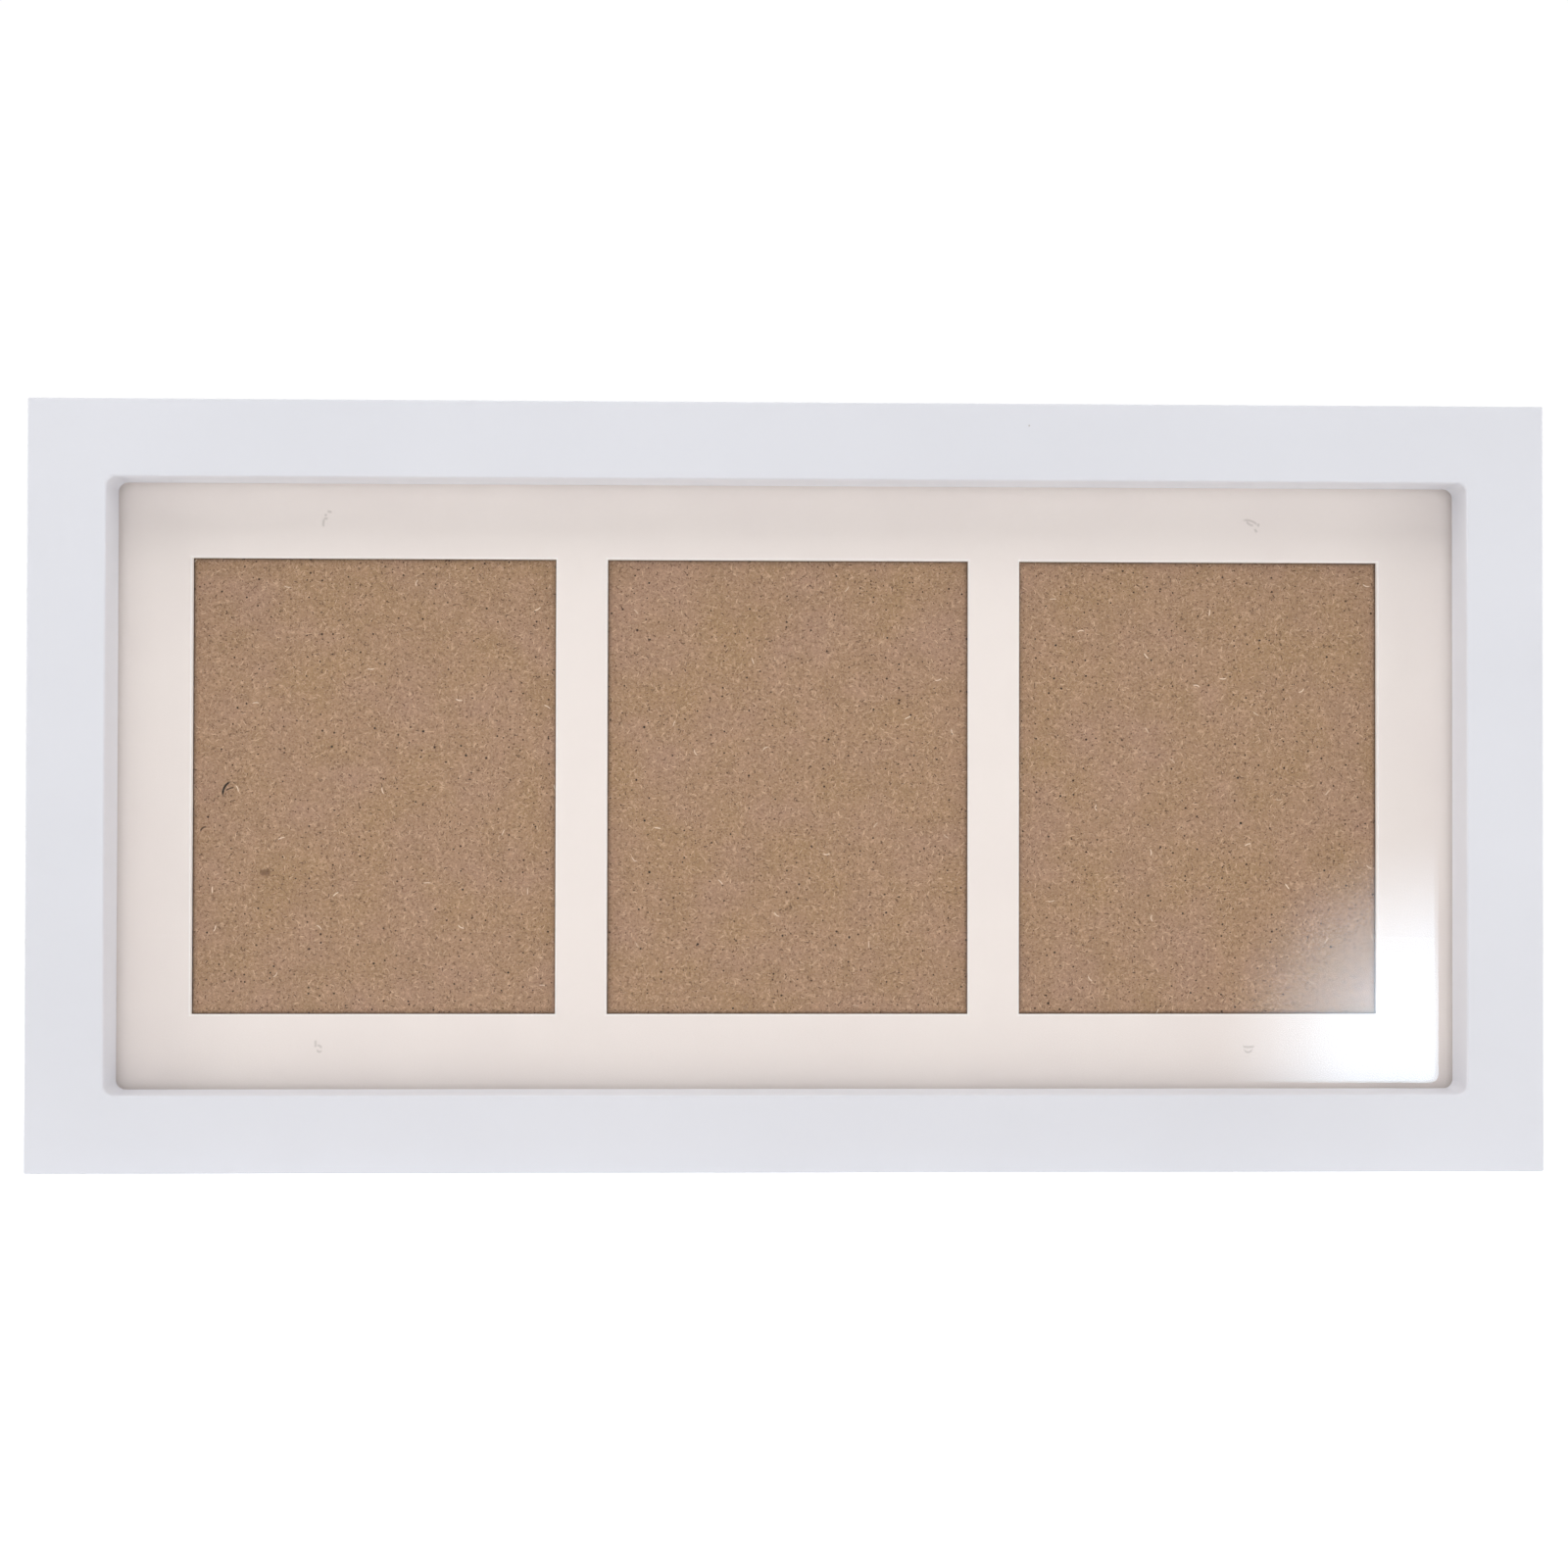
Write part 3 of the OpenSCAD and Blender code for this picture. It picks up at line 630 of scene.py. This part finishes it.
def stamp_edges(radius, steps=2):
    """Rounds every sharp edge of the open piece, as the stamping and the plating leave it."""
    bpy.ops.object.mode_set(mode="OBJECT")
    bpy.ops.object.modifier_add(type="BEVEL")
    rounding = bpy.context.object.modifiers[-1]
    rounding.width = radius
    rounding.segments = steps
    rounding.angle_limit = math.radians(40)
    bpy.ops.object.modifier_apply(modifier=rounding.name)
    bpy.ops.object.mode_set(mode="EDIT")


def place_copy(piece, name, move):
    """A copy of a piece with a mesh of its own, moved in that mesh."""
    copy = piece.copy()
    copy.name = name
    copy.data = piece.data.copy()
    copy.data.transform(move)
    bpy.context.scene.collection.objects.link(copy)
    return copy


steel = zinc_plated_steel()
button_end_r, button_tip_r, button_t, rib_r = 4.5 * MM, 3.25 * MM, 1 * MM, 0.8 * MM
button_reach, button_play = 15.95 * MM, 0.05 * MM
stamp_ease = 0.15 * MM
button_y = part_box("turn_button_left")[0].y
tip_x = button_reach - button_tip_r
rib_x = 4.0 * MM
button = begin(
    "turn_button",
    bpy.ops.mesh.primitive_cylinder_add,
    (0, button_y + button_t / 2, 0),
    turn=(math.radians(90), 0, 0),
    radius=button_end_r,
    depth=button_t,
    vertices=64,
)
select("VERT", lambda corner: corner.co.x > (button_end_r - button_tip_r) * button_end_r / tip_x)
tip_share = button_tip_r / button_end_r
bpy.ops.transform.resize(value=(tip_share, 1, tip_share), center_override=(0, 0, 0))
bpy.ops.transform.translate(value=(tip_x, 0, 0))
select("EDGE", lambda edge: not along(edge, 1))
ease(stamp_ease, steps=2)
shape = {"radius": rib_r, "segments": 24, "ring_count": 12}
rib = begin("rib", bpy.ops.mesh.primitive_uv_sphere_add, (rib_x, button_y + rib_r, 0), **shape)
select("VERT", lambda corner: corner.co.x > rib_x + TINY)
bpy.ops.transform.translate(value=(tip_x - rib_x, 0, 0))
combine(button, rib, "UNION")
bore(button, (0, button_y + button_t, 0), screw_r + button_play, button_t + overcut)
close(button, steel)
for joint, place in zip(turn_joints, screw_places):
    side = joint["name"].removeprefix("turn_")
    inward = (0, mid_z - place.z) if abs(place.z - mid_z) > 1 * MM else (-place.x, 0)
    towards = math.atan2(inward[1], inward[0])
    move = Matrix.Translation((place.x, 0, place.z)) @ Matrix.Rotation(-towards, 4, "Y")
    piece = place_copy(button, f"stamped_button_{side}", move)
    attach(piece, f"button_{side}")
    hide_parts(f"turn_button_{side}")
bpy.data.objects.remove(button)


# Button screws. The real ones are steel wood screws with a pan head and a cross recess. One goes
# through each button into the rear rail, and the button turns under its head.
def turned(name, rings, corners=40):
    """A round piece about the Y axis, drawn out ring by ring: each is a radius and a place."""
    radius, y = rings[0]
    turn = (math.radians(90), 0, 0)
    shape = {"radius": radius, "vertices": corners, "fill_type": "NGON"}
    piece = begin(name, bpy.ops.mesh.primitive_circle_add, (0, y, 0), turn=turn, **shape)
    bpy.ops.mesh.select_all(action="SELECT")
    for next_radius, next_y in rings[1:]:
        extrude(0, next_y - y, 0)
        share = next_radius / radius
        bpy.ops.transform.resize(value=(share, 1, share), center_override=(0, next_y, 0))
        radius, y = next_radius, next_y
    return piece


def dome(radius, height, y, steps=7):
    """Rings of a low dome of that radius and height, standing on plane y."""
    ball_r = (radius**2 + height**2) / (2 * height)
    rim = math.asin(radius / ball_r)
    angles = [rim * (1 - i / steps) for i in range(steps)] + [rim * 0.05]
    return [(ball_r * math.sin(a), y + height - ball_r * (1 - math.cos(a))) for a in angles]


head_r, head_h, head_ease = 3 * MM, 1.9 * MM, 0.15 * MM
slot_w, slot_l, slot_depth, slot_taper = 0.8 * MM, 3.4 * MM, 1.1 * MM, 0.55
neck_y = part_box("turn_button_screws")[1].y - head_h
point_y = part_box("turn_button_screws")[0].y
screw_point = 2.2 * MM
rings = [(0.2 * MM, point_y), (screw_r, point_y + screw_point), (screw_r, neck_y)]
rings += [(head_r - head_ease, neck_y), (head_r, neck_y + head_ease)]
rings += dome(head_r, head_h - head_ease, neck_y + head_ease)
screw = turned("button_screw", rings)
slot_bottom = neck_y + head_h - slot_depth
for turn in (45, 135):
    place, tilt = (0, slot_bottom + slot_depth, 0), (0, math.radians(turn), 0)
    stretch = (slot_l, 2 * slot_depth, slot_w)
    recess = begin("recess", bpy.ops.mesh.primitive_cube_add, place, stretch, tilt, size=1)
    select("FACE", lambda face: face.normal.y < -0.9)
    bpy.ops.transform.resize(value=(slot_taper, 1, slot_taper), center_override=(0, slot_bottom, 0))
    combine(screw, recess)
stamp_edges(0.06 * MM)
close(screw, steel)
for joint, place in zip(turn_joints, screw_places):
    side = joint["name"].removeprefix("turn_")
    piece = place_copy(screw, f"pan_head_screw_{side}", Matrix.Translation((place.x, 0, place.z)))
    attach(piece, "frame")
    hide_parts("turn_button_screws")
bpy.data.objects.remove(screw)


# Sawtooth hangers. Two stamped steel strips, bent so that their bridge stands off the upper rear rail
# for the head of a wall nail, with teeth along the bridge's lower edge to level the frame by.
tab_l, slope_l, bridge_rise, strip_t = 7 * MM, 2.5 * MM, 2.2 * MM, 0.7 * MM
tooth_pitch, tooth_depth, bend_r = 2.5 * MM, 1.4 * MM, 0.8 * MM
nail_r = 0.75 * MM
hanger_lo, hanger_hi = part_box("hanger_right")
hanger_x = (hanger_lo.x + hanger_hi.x) / 2
hanger_z = (hanger_lo.z + hanger_hi.z) / 2
half_l, half_h = (hanger_hi.x - hanger_lo.x) / 2, (hanger_hi.z - hanger_lo.z) / 2
bend_x = half_l - tab_l
bridge_x = bend_x - slope_l
hanger = begin_box("hanger", (-half_l, rear_y, -half_h), (half_l, rear_y + strip_t, half_h))
teeth = math.floor(2 * bridge_x / tooth_pitch) - 1
roots = [(i - (teeth - 1) / 2) * tooth_pitch for i in range(teeth)]
valleys = [roots[0] - tooth_pitch / 2 + i * tooth_pitch for i in range(teeth + 1)]
slice_at(0, -bend_x, -bridge_x, *valleys, *roots, bridge_x, bend_x)
select("VERT", lambda corner: abs(corner.co.x) < bridge_x + TINY)
bpy.ops.transform.translate(value=(0, bridge_rise, 0))
select("VERT", lambda corner: corner.co.z < 0 and any(abs(corner.co.x - x) < TINY for x in roots))
bpy.ops.transform.translate(value=(0, 0, tooth_depth))
bends = (bend_x, bridge_x)
select(
    "EDGE",
    lambda edge: along(edge, 2) and any(abs(abs(middle(edge).x) - x) < TINY for x in bends),
)
ease(bend_r, steps=4)
stamp_edges(0.1 * MM)
nail_x = half_l - tab_l / 2
for x in (-nail_x, nail_x):
    bore(hanger, (x, rear_y + strip_t, 0), nail_r, strip_t + overcut)
close(hanger, steel)
for side, x in (("left", -hanger_x), ("right", hanger_x)):
    piece = place_copy(hanger, f"sawtooth_hanger_{side}", Matrix.Translation((x, 0, hanger_z)))
    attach(piece, "frame")
    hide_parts(f"hanger_{side}")
bpy.data.objects.remove(hanger)


# Hanger nails. The real ones are short steel nails with round heads. One goes through each tab of a
# hanger and is driven into the rail until its head lies on the tab.
nail_head_r, nail_point = 1.8 * MM, 1.5 * MM
nails_lo, nails_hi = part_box("hanger_nails")
tab_y = rear_y + strip_t
rings = [(0.12 * MM, nails_lo.y), (nail_r, nails_lo.y + nail_point), (nail_r, tab_y)]
rings += [(nail_head_r, tab_y)] + dome(nail_head_r, nails_hi.y - tab_y, tab_y)[1:]
nail = turned("nail", rings, corners=28)
close(nail, steel)
for side, x in (("left", -hanger_x), ("right", hanger_x)):
    for end, shift in (("outer", math.copysign(nail_x, x)), ("inner", -math.copysign(nail_x, x))):
        move = Matrix.Translation((x + shift, 0, hanger_z))
        piece = place_copy(nail, f"hanger_nail_{side}_{end}", move)
        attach(piece, "frame")
        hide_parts("hanger_nails")
bpy.data.objects.remove(nail)


# Hinge leaf on the back. A steel blank riveted to the hardboard, whose two lower lugs are rolled round
# the hinge pin, with room between them for the knuckle of the other leaf.
leaf_t, knuckle_r, leaf_corner_r, leaf_ease, rolled_turn = 0.8 * MM, 2.0 * MM, 3 * MM, 0.1 * MM, 312
pin = next(Vector(joint["pos_m"]) for joint in frame["joints"] if joint["name"] == "strut_fold")
leaf_lo, leaf_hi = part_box("hinge_fixed_leaf")
notch_half_w = 8.0 * MM
blank_z = pin.z + knuckle_r + 0.3 * MM
low, high = (leaf_lo.x, leaf_lo.y, blank_z), (leaf_hi.x, leaf_lo.y + leaf_t, leaf_hi.z)
back_leaf = begin_box("hinge_leaf_on_back", low, high)
slice_at(0, -notch_half_w, notch_half_w)
side_x, top_z = leaf_hi.x - TINY, leaf_hi.z - TINY
select(
    "EDGE",
    lambda edge: along(edge, 1) and abs(middle(edge).x) > side_x and middle(edge).z > top_z,
)
ease(leaf_corner_r, steps=8)
select("FACE", lambda face: face.normal.z < -0.99 and abs(middle(face).x) > notch_half_w)
extrude(0, pin.y - knuckle_r - leaf_lo.y, pin.z - blank_z)
bpy.ops.mesh.spin(steps=26, angle=math.radians(rolled_turn), center=pin, axis=(1, 0, 0))
for x in (-rivet_x, rivet_x):
    bore(back_leaf, (x, leaf_lo.y + leaf_t, back_rivet_z), rivet_r, leaf_t + 0.2 * MM)
bpy.ops.object.mode_set(mode="EDIT")
stamp_edges(leaf_ease)
close(back_leaf, steel)
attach(back_leaf, "frame")
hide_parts("hinge_fixed_leaf")


# Hinge pin. A steel wire through the three knuckles, peened over into a low head at each end.
pin_r, pin_head_r, pin_head_h = 1.15 * MM, 1.7 * MM, 0.6 * MM
head_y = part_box("hinge_pin")[1].x - pin_head_h
head = dome(pin_head_r, pin_head_h, head_y)
rings = [(radius, -y) for radius, y in reversed(head)] + [(pin_r, -head_y), (pin_r, head_y)] + head
hinge_pin = turned("peened_hinge_pin", rings, corners=32)
close(hinge_pin, steel)
hinge_pin.data.transform(Matrix.Translation(pin) @ Matrix.Rotation(math.radians(-90), 4, "Z"))
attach(hinge_pin, "frame")
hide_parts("hinge_pin")


# Rivets. Two go through the back and its leaf, two through the strut and its leaf: a domed head over
# the steel, and a clinched end set into the board.
def rivet(name, board_y, leaf_y):
    """A rivet about the Y axis, from its clinched end in the board to its head over the leaf."""
    rolled, hollow_r, hollow_depth = 0.12 * MM, 0.8 * MM, 1.2 * MM
    rings = [
        (0.1 * MM, board_y + hollow_depth),
        (hollow_r, board_y + 1.0 * MM),
        (hollow_r, board_y + 2 * rolled),
        (hollow_r + rolled, board_y),
        (rivet_tail_r - rolled, board_y),
        (rivet_tail_r, board_y + rolled),
        (rivet_tail_r, board_y + rivet_tail_h),
        (rivet_r, board_y + rivet_tail_h),
        (rivet_r, leaf_y),
        (rivet_head_r, leaf_y),
    ]
    piece = turned(name, rings + dome(rivet_head_r, rivet_head_h, leaf_y)[1:], corners=36)
    close(piece, steel)
    return piece


made = rivet("rivet", back_lo.y, leaf_lo.y + leaf_t)
for side, x in (("left", -rivet_x), ("right", rivet_x)):
    piece = place_copy(made, f"back_rivet_{side}", Matrix.Translation((x, 0, back_rivet_z)))
    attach(piece, "frame")
    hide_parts("fixed_leaf_rivets")
bpy.data.objects.remove(made)


# Easel strut. A tapered prop sawn from the same hardboard, with rounded corners and edges rubbed smooth
# by handling. It hangs from the hinge, folded flat against the back.
strut_corner_r, strut_ease, strut_top_w = 6 * MM, 0.35 * MM, 36 * MM
strut_lo, strut_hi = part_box("easel_strut")
strut_rivets_lo, strut_rivets_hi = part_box("strut_rivets")
strut_rivet_z = (strut_rivets_lo.z + strut_rivets_hi.z) / 2
foot_centre = strut_hi.x - strut_corner_r
top_centre = strut_top_w / 2 - strut_corner_r
rise = strut_hi.z - strut_lo.z - 2 * strut_corner_r
slant = math.atan2(foot_centre - top_centre, rise)
foot_half_w = foot_centre + strut_corner_r * (1 / math.cos(slant) + math.tan(slant))
top_half_w = top_centre + strut_corner_r * (1 / math.cos(slant) - math.tan(slant))
low, high = (-foot_half_w, strut_lo.y, strut_lo.z), (foot_half_w, strut_hi.y, strut_hi.z)
strut_board = begin_box("easel_strut_board", low, high)
select("FACE", lambda face: face.normal.z > 0.99)
bpy.ops.transform.resize(value=(top_half_w / foot_half_w, 1, 1), center_override=(0, 0, strut_hi.z))
lean = math.degrees(slant)
for level, corner_angle in ((strut_hi.z, 90 + lean), (strut_lo.z, 90 - lean)):
    select("EDGE", lambda edge: along(edge, 1) and abs(middle(edge).z - level) < TINY)
    ease(strut_corner_r / math.tan(math.radians(corner_angle / 2)), steps=10)
select("EDGE", lambda edge: not along(edge, 1))
ease(strut_ease)
for x in (-rivet_x, rivet_x):
    bore(strut_board, (x, strut_hi.y, strut_rivet_z), rivet_r, strut_hi.y - strut_lo.y + overcut)
    seat = (x, strut_lo.y + rivet_tail_h, strut_rivet_z)
    bore(strut_board, seat, rivet_tail_r, rivet_tail_h + overcut)
close(strut_board, hardboard("raw_hardboard_strut"))
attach(strut_board, "strut")
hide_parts("easel_strut")
made = rivet("rivet", strut_lo.y, strut_hi.y + leaf_t)
for side, x in (("left", -rivet_x), ("right", rivet_x)):
    piece = place_copy(made, f"strut_rivet_{side}", Matrix.Translation((x, 0, strut_rivet_z)))
    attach(piece, "strut")
    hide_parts("strut_rivets")
bpy.data.objects.remove(made)


# Hinge leaf on the strut. A steel blank riveted to the strut. Its tongue runs up past the pin and stops
# the strut against the other leaf, and a band lanced out of it is rolled round the pin as a knuckle.
strut_leaf_lo, strut_leaf_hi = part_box("hinge_moving_leaf")
plate_y = strut_leaf_hi.y - leaf_t
blank_top_z, tongue_half_w = strut_hi.z, 7.7 * MM
low, high = (strut_leaf_lo.x, plate_y, strut_leaf_lo.z), (strut_leaf_hi.x, strut_leaf_hi.y, blank_top_z)
strut_leaf = begin_box("hinge_leaf_on_strut", low, high)
slice_at(0, -tongue_half_w, tongue_half_w)
select("EDGE", lambda edge: along(edge, 1) and abs(middle(edge).x) > strut_leaf_hi.x - TINY)
ease(leaf_corner_r, steps=8)
select("FACE", lambda face: face.normal.z > 0.99 and abs(middle(face).x) < tongue_half_w)
extrude(0, 0, strut_leaf_hi.z - blank_top_z)
low = (-tongue_half_w, pin.y + knuckle_r - leaf_t, pin.z - TINY)
high = (tongue_half_w, pin.y + knuckle_r, pin.z)
knuckle = begin_box("knuckle", low, high)
select("FACE", lambda face: face.normal.z > 0.99)
bpy.ops.mesh.spin(steps=40, angle=math.radians(-359), center=pin, axis=(1, 0, 0))
combine(strut_leaf, knuckle, "UNION")
for x in (-rivet_x, rivet_x):
    bore(strut_leaf, (x, strut_leaf_hi.y, strut_rivet_z), rivet_r, leaf_t + 0.2 * MM)
bpy.ops.object.mode_set(mode="EDIT")
stamp_edges(leaf_ease)
close(strut_leaf, steel)
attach(strut_leaf, "strut")
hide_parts("hinge_moving_leaf")


# Floor, surround and light. The frame stands on a wide table of white acrylic, lit softly from below,
# in a white room. Softboxes at both sides, above and behind light the walls of the opening nearly as
# well as the face. The glass mirrors the room dimmed, so that what lies behind it stays clear.
mirror_dim = 0.5


def white_surround(tree, output, lit, seen):
    """Shows one shader to lit surfaces, and another to the camera, to gloss and through the glass."""
    rays = node(tree, "LightPath")
    dim = {0: rays.outputs["Is Singular Ray"], 1: mirror_dim}
    dim = node(tree, "Math", dim, operation="MULTIPLY").outputs[0]
    seen = node(tree, "MixShader", {0: dim, 1: seen}).outputs[0]
    direct = {0: rays.outputs["Is Camera Ray"], 1: rays.outputs["Is Glossy Ray"]}
    direct = node(tree, "Math", direct, operation="MAXIMUM").outputs[0]
    direct = {0: direct, 1: rays.outputs["Is Transmission Ray"]}
    direct = node(tree, "Math", direct, operation="MAXIMUM").outputs[0]
    tree.links.new(node(tree, "MixShader", {0: direct, 1: lit, 2: seen}).outputs[0], output)


bpy.context.scene.view_settings.view_transform = "Standard"
world = bpy.data.worlds.new("white_room")
bpy.context.scene.world = world
world.use_nodes = True
tree = world.node_tree
lit = node(tree, "Background", {"Color": (1, 1, 1, 1), "Strength": 0.21}).outputs[0]
seen = node(tree, "Background", {"Color": (1, 1, 1, 1), "Strength": 1.02}).outputs[0]
white_surround(tree, tree.nodes["World Output"].inputs["Surface"], lit, seen)

bpy.ops.mesh.primitive_plane_add(size=8)
floor = bpy.context.object
floor.name = "floor"
floor_material, tree, shader, place = new_material("white_acrylic_table", Roughness=0.9)
shader.inputs["Base Color"].default_value = (0.95, 0.95, 0.95, 1)
shader.inputs["Emission Strength"].default_value = 0.32
shader.inputs["Emission Color"].default_value = (1, 1, 1, 1)
shader.inputs["Specular IOR Level"].default_value = 0.0
glow = node(tree, "Emission", {"Color": (1, 1, 1, 1), "Strength": 1.05}).outputs[0]
# Near the frame the camera sees the table's own light and shade, and further out plain white.
far = node(tree, "VectorMath", {0: place}, operation="LENGTH").outputs["Value"]
near = {"Value": far, "From Min": 0.3, "From Max": 1.0, "To Min": 0.9, "To Max": 0.0}
near = node(tree, "MapRange", near).outputs[0]
seen = node(tree, "MixShader", {0: near, 1: glow, 2: shader.outputs[0]}).outputs[0]
white_surround(tree, tree.nodes["Material Output"].inputs["Surface"], shader.outputs[0], seen)
floor.data.materials.append(floor_material)

softbox_w, softbox_distance = 1.2, 1.6
frame_middle = Vector((0, 0, mid_z))
for name, azimuth, elevation, power in (
    ("left_softbox", -75, 20, 8.5),
    ("right_softbox", 75, 20, 9),
    ("top_softbox", -10, 65, 12.5),
    ("rear_left_softbox", -165, 35, 6),
    ("rear_right_softbox", 165, 35, 6),
):
    turn = Matrix.Rotation(math.radians(azimuth), 3, "Z")
    turn = turn @ Matrix.Rotation(math.radians(-elevation), 3, "X")
    place = frame_middle + turn @ Vector((0, -softbox_distance, 0))
    lamp = bpy.data.objects.new(name, bpy.data.lights.new(name, "AREA"))
    lamp.data.size = softbox_w
    lamp.data.energy = power
    aim = (frame_middle - place).to_track_quat("-Z", "Y").to_matrix().to_4x4()
    lamp.matrix_world = Matrix.Translation(place) @ aim
    bpy.context.scene.collection.objects.link(lamp)


# Bright card. A lit card stands low at the right, outside the picture, and the glass mirrors it as a
# soft cool glow in its lower right corner. It shows only in that sharp mirror, and lights nothing.
card_place, card_r = Vector((0.228, -0.15, 0.008)), 82 * MM
upright = (math.radians(90), 0, 0)
shape = {"radius": card_r, "fill_type": "NGON"}
bpy.ops.mesh.primitive_circle_add(location=card_place, rotation=upright, **shape)
card = bpy.context.object
card.name = "bright_card"
bpy.ops.object.transform_apply(location=True, rotation=True, scale=True)
card_material, tree, shader, place = new_material("bright_card")
off = node(tree, "VectorMath", {0: place, 1: card_place}, operation="DISTANCE").outputs["Value"]
fade = {"Value": off, "From Min": 0.0, "From Max": card_r, **FALLING}
fade = node(tree, "MapRange", fade, interpolation_type="SMOOTHSTEP").outputs[0]
mirrored = {0: fade, 1: node(tree, "LightPath").outputs["Is Singular Ray"]}
mirrored = node(tree, "Math", mirrored, operation="MULTIPLY").outputs[0]
shine = node(tree, "Emission", {"Color": linear("#D7EDFF"), "Strength": 18.0}).outputs[0]
through = node(tree, "BsdfTransparent").outputs[0]
surface = node(tree, "MixShader", {0: mirrored, 1: through, 2: shine}).outputs[0]
tree.links.new(surface, tree.nodes["Material Output"].inputs["Surface"])
card.data.materials.append(card_material)
card.visible_camera = False
card.visible_diffuse = False
card.visible_shadow = False


# Camera. It stands half a metre in front of the frame, a finger's breadth left of its middle, and is
# held nearly level.
camera_place = Vector((-12.27, -520.75, 94.96)) * MM
camera = bpy.data.objects.new("camera", bpy.data.cameras.new("camera"))
bpy.context.scene.collection.objects.link(camera)
bpy.context.scene.camera = camera
camera.data.lens = 45.77
camera.data.sensor_width = 36
camera_turn = (
    Matrix.Rotation(math.radians(90.53), 4, "X")
    @ Matrix.Rotation(math.radians(-1.19), 4, "Y")
    @ Matrix.Rotation(math.radians(0.13), 4, "Z")
)
camera.matrix_world = Matrix.Translation(camera_place) @ camera_turn
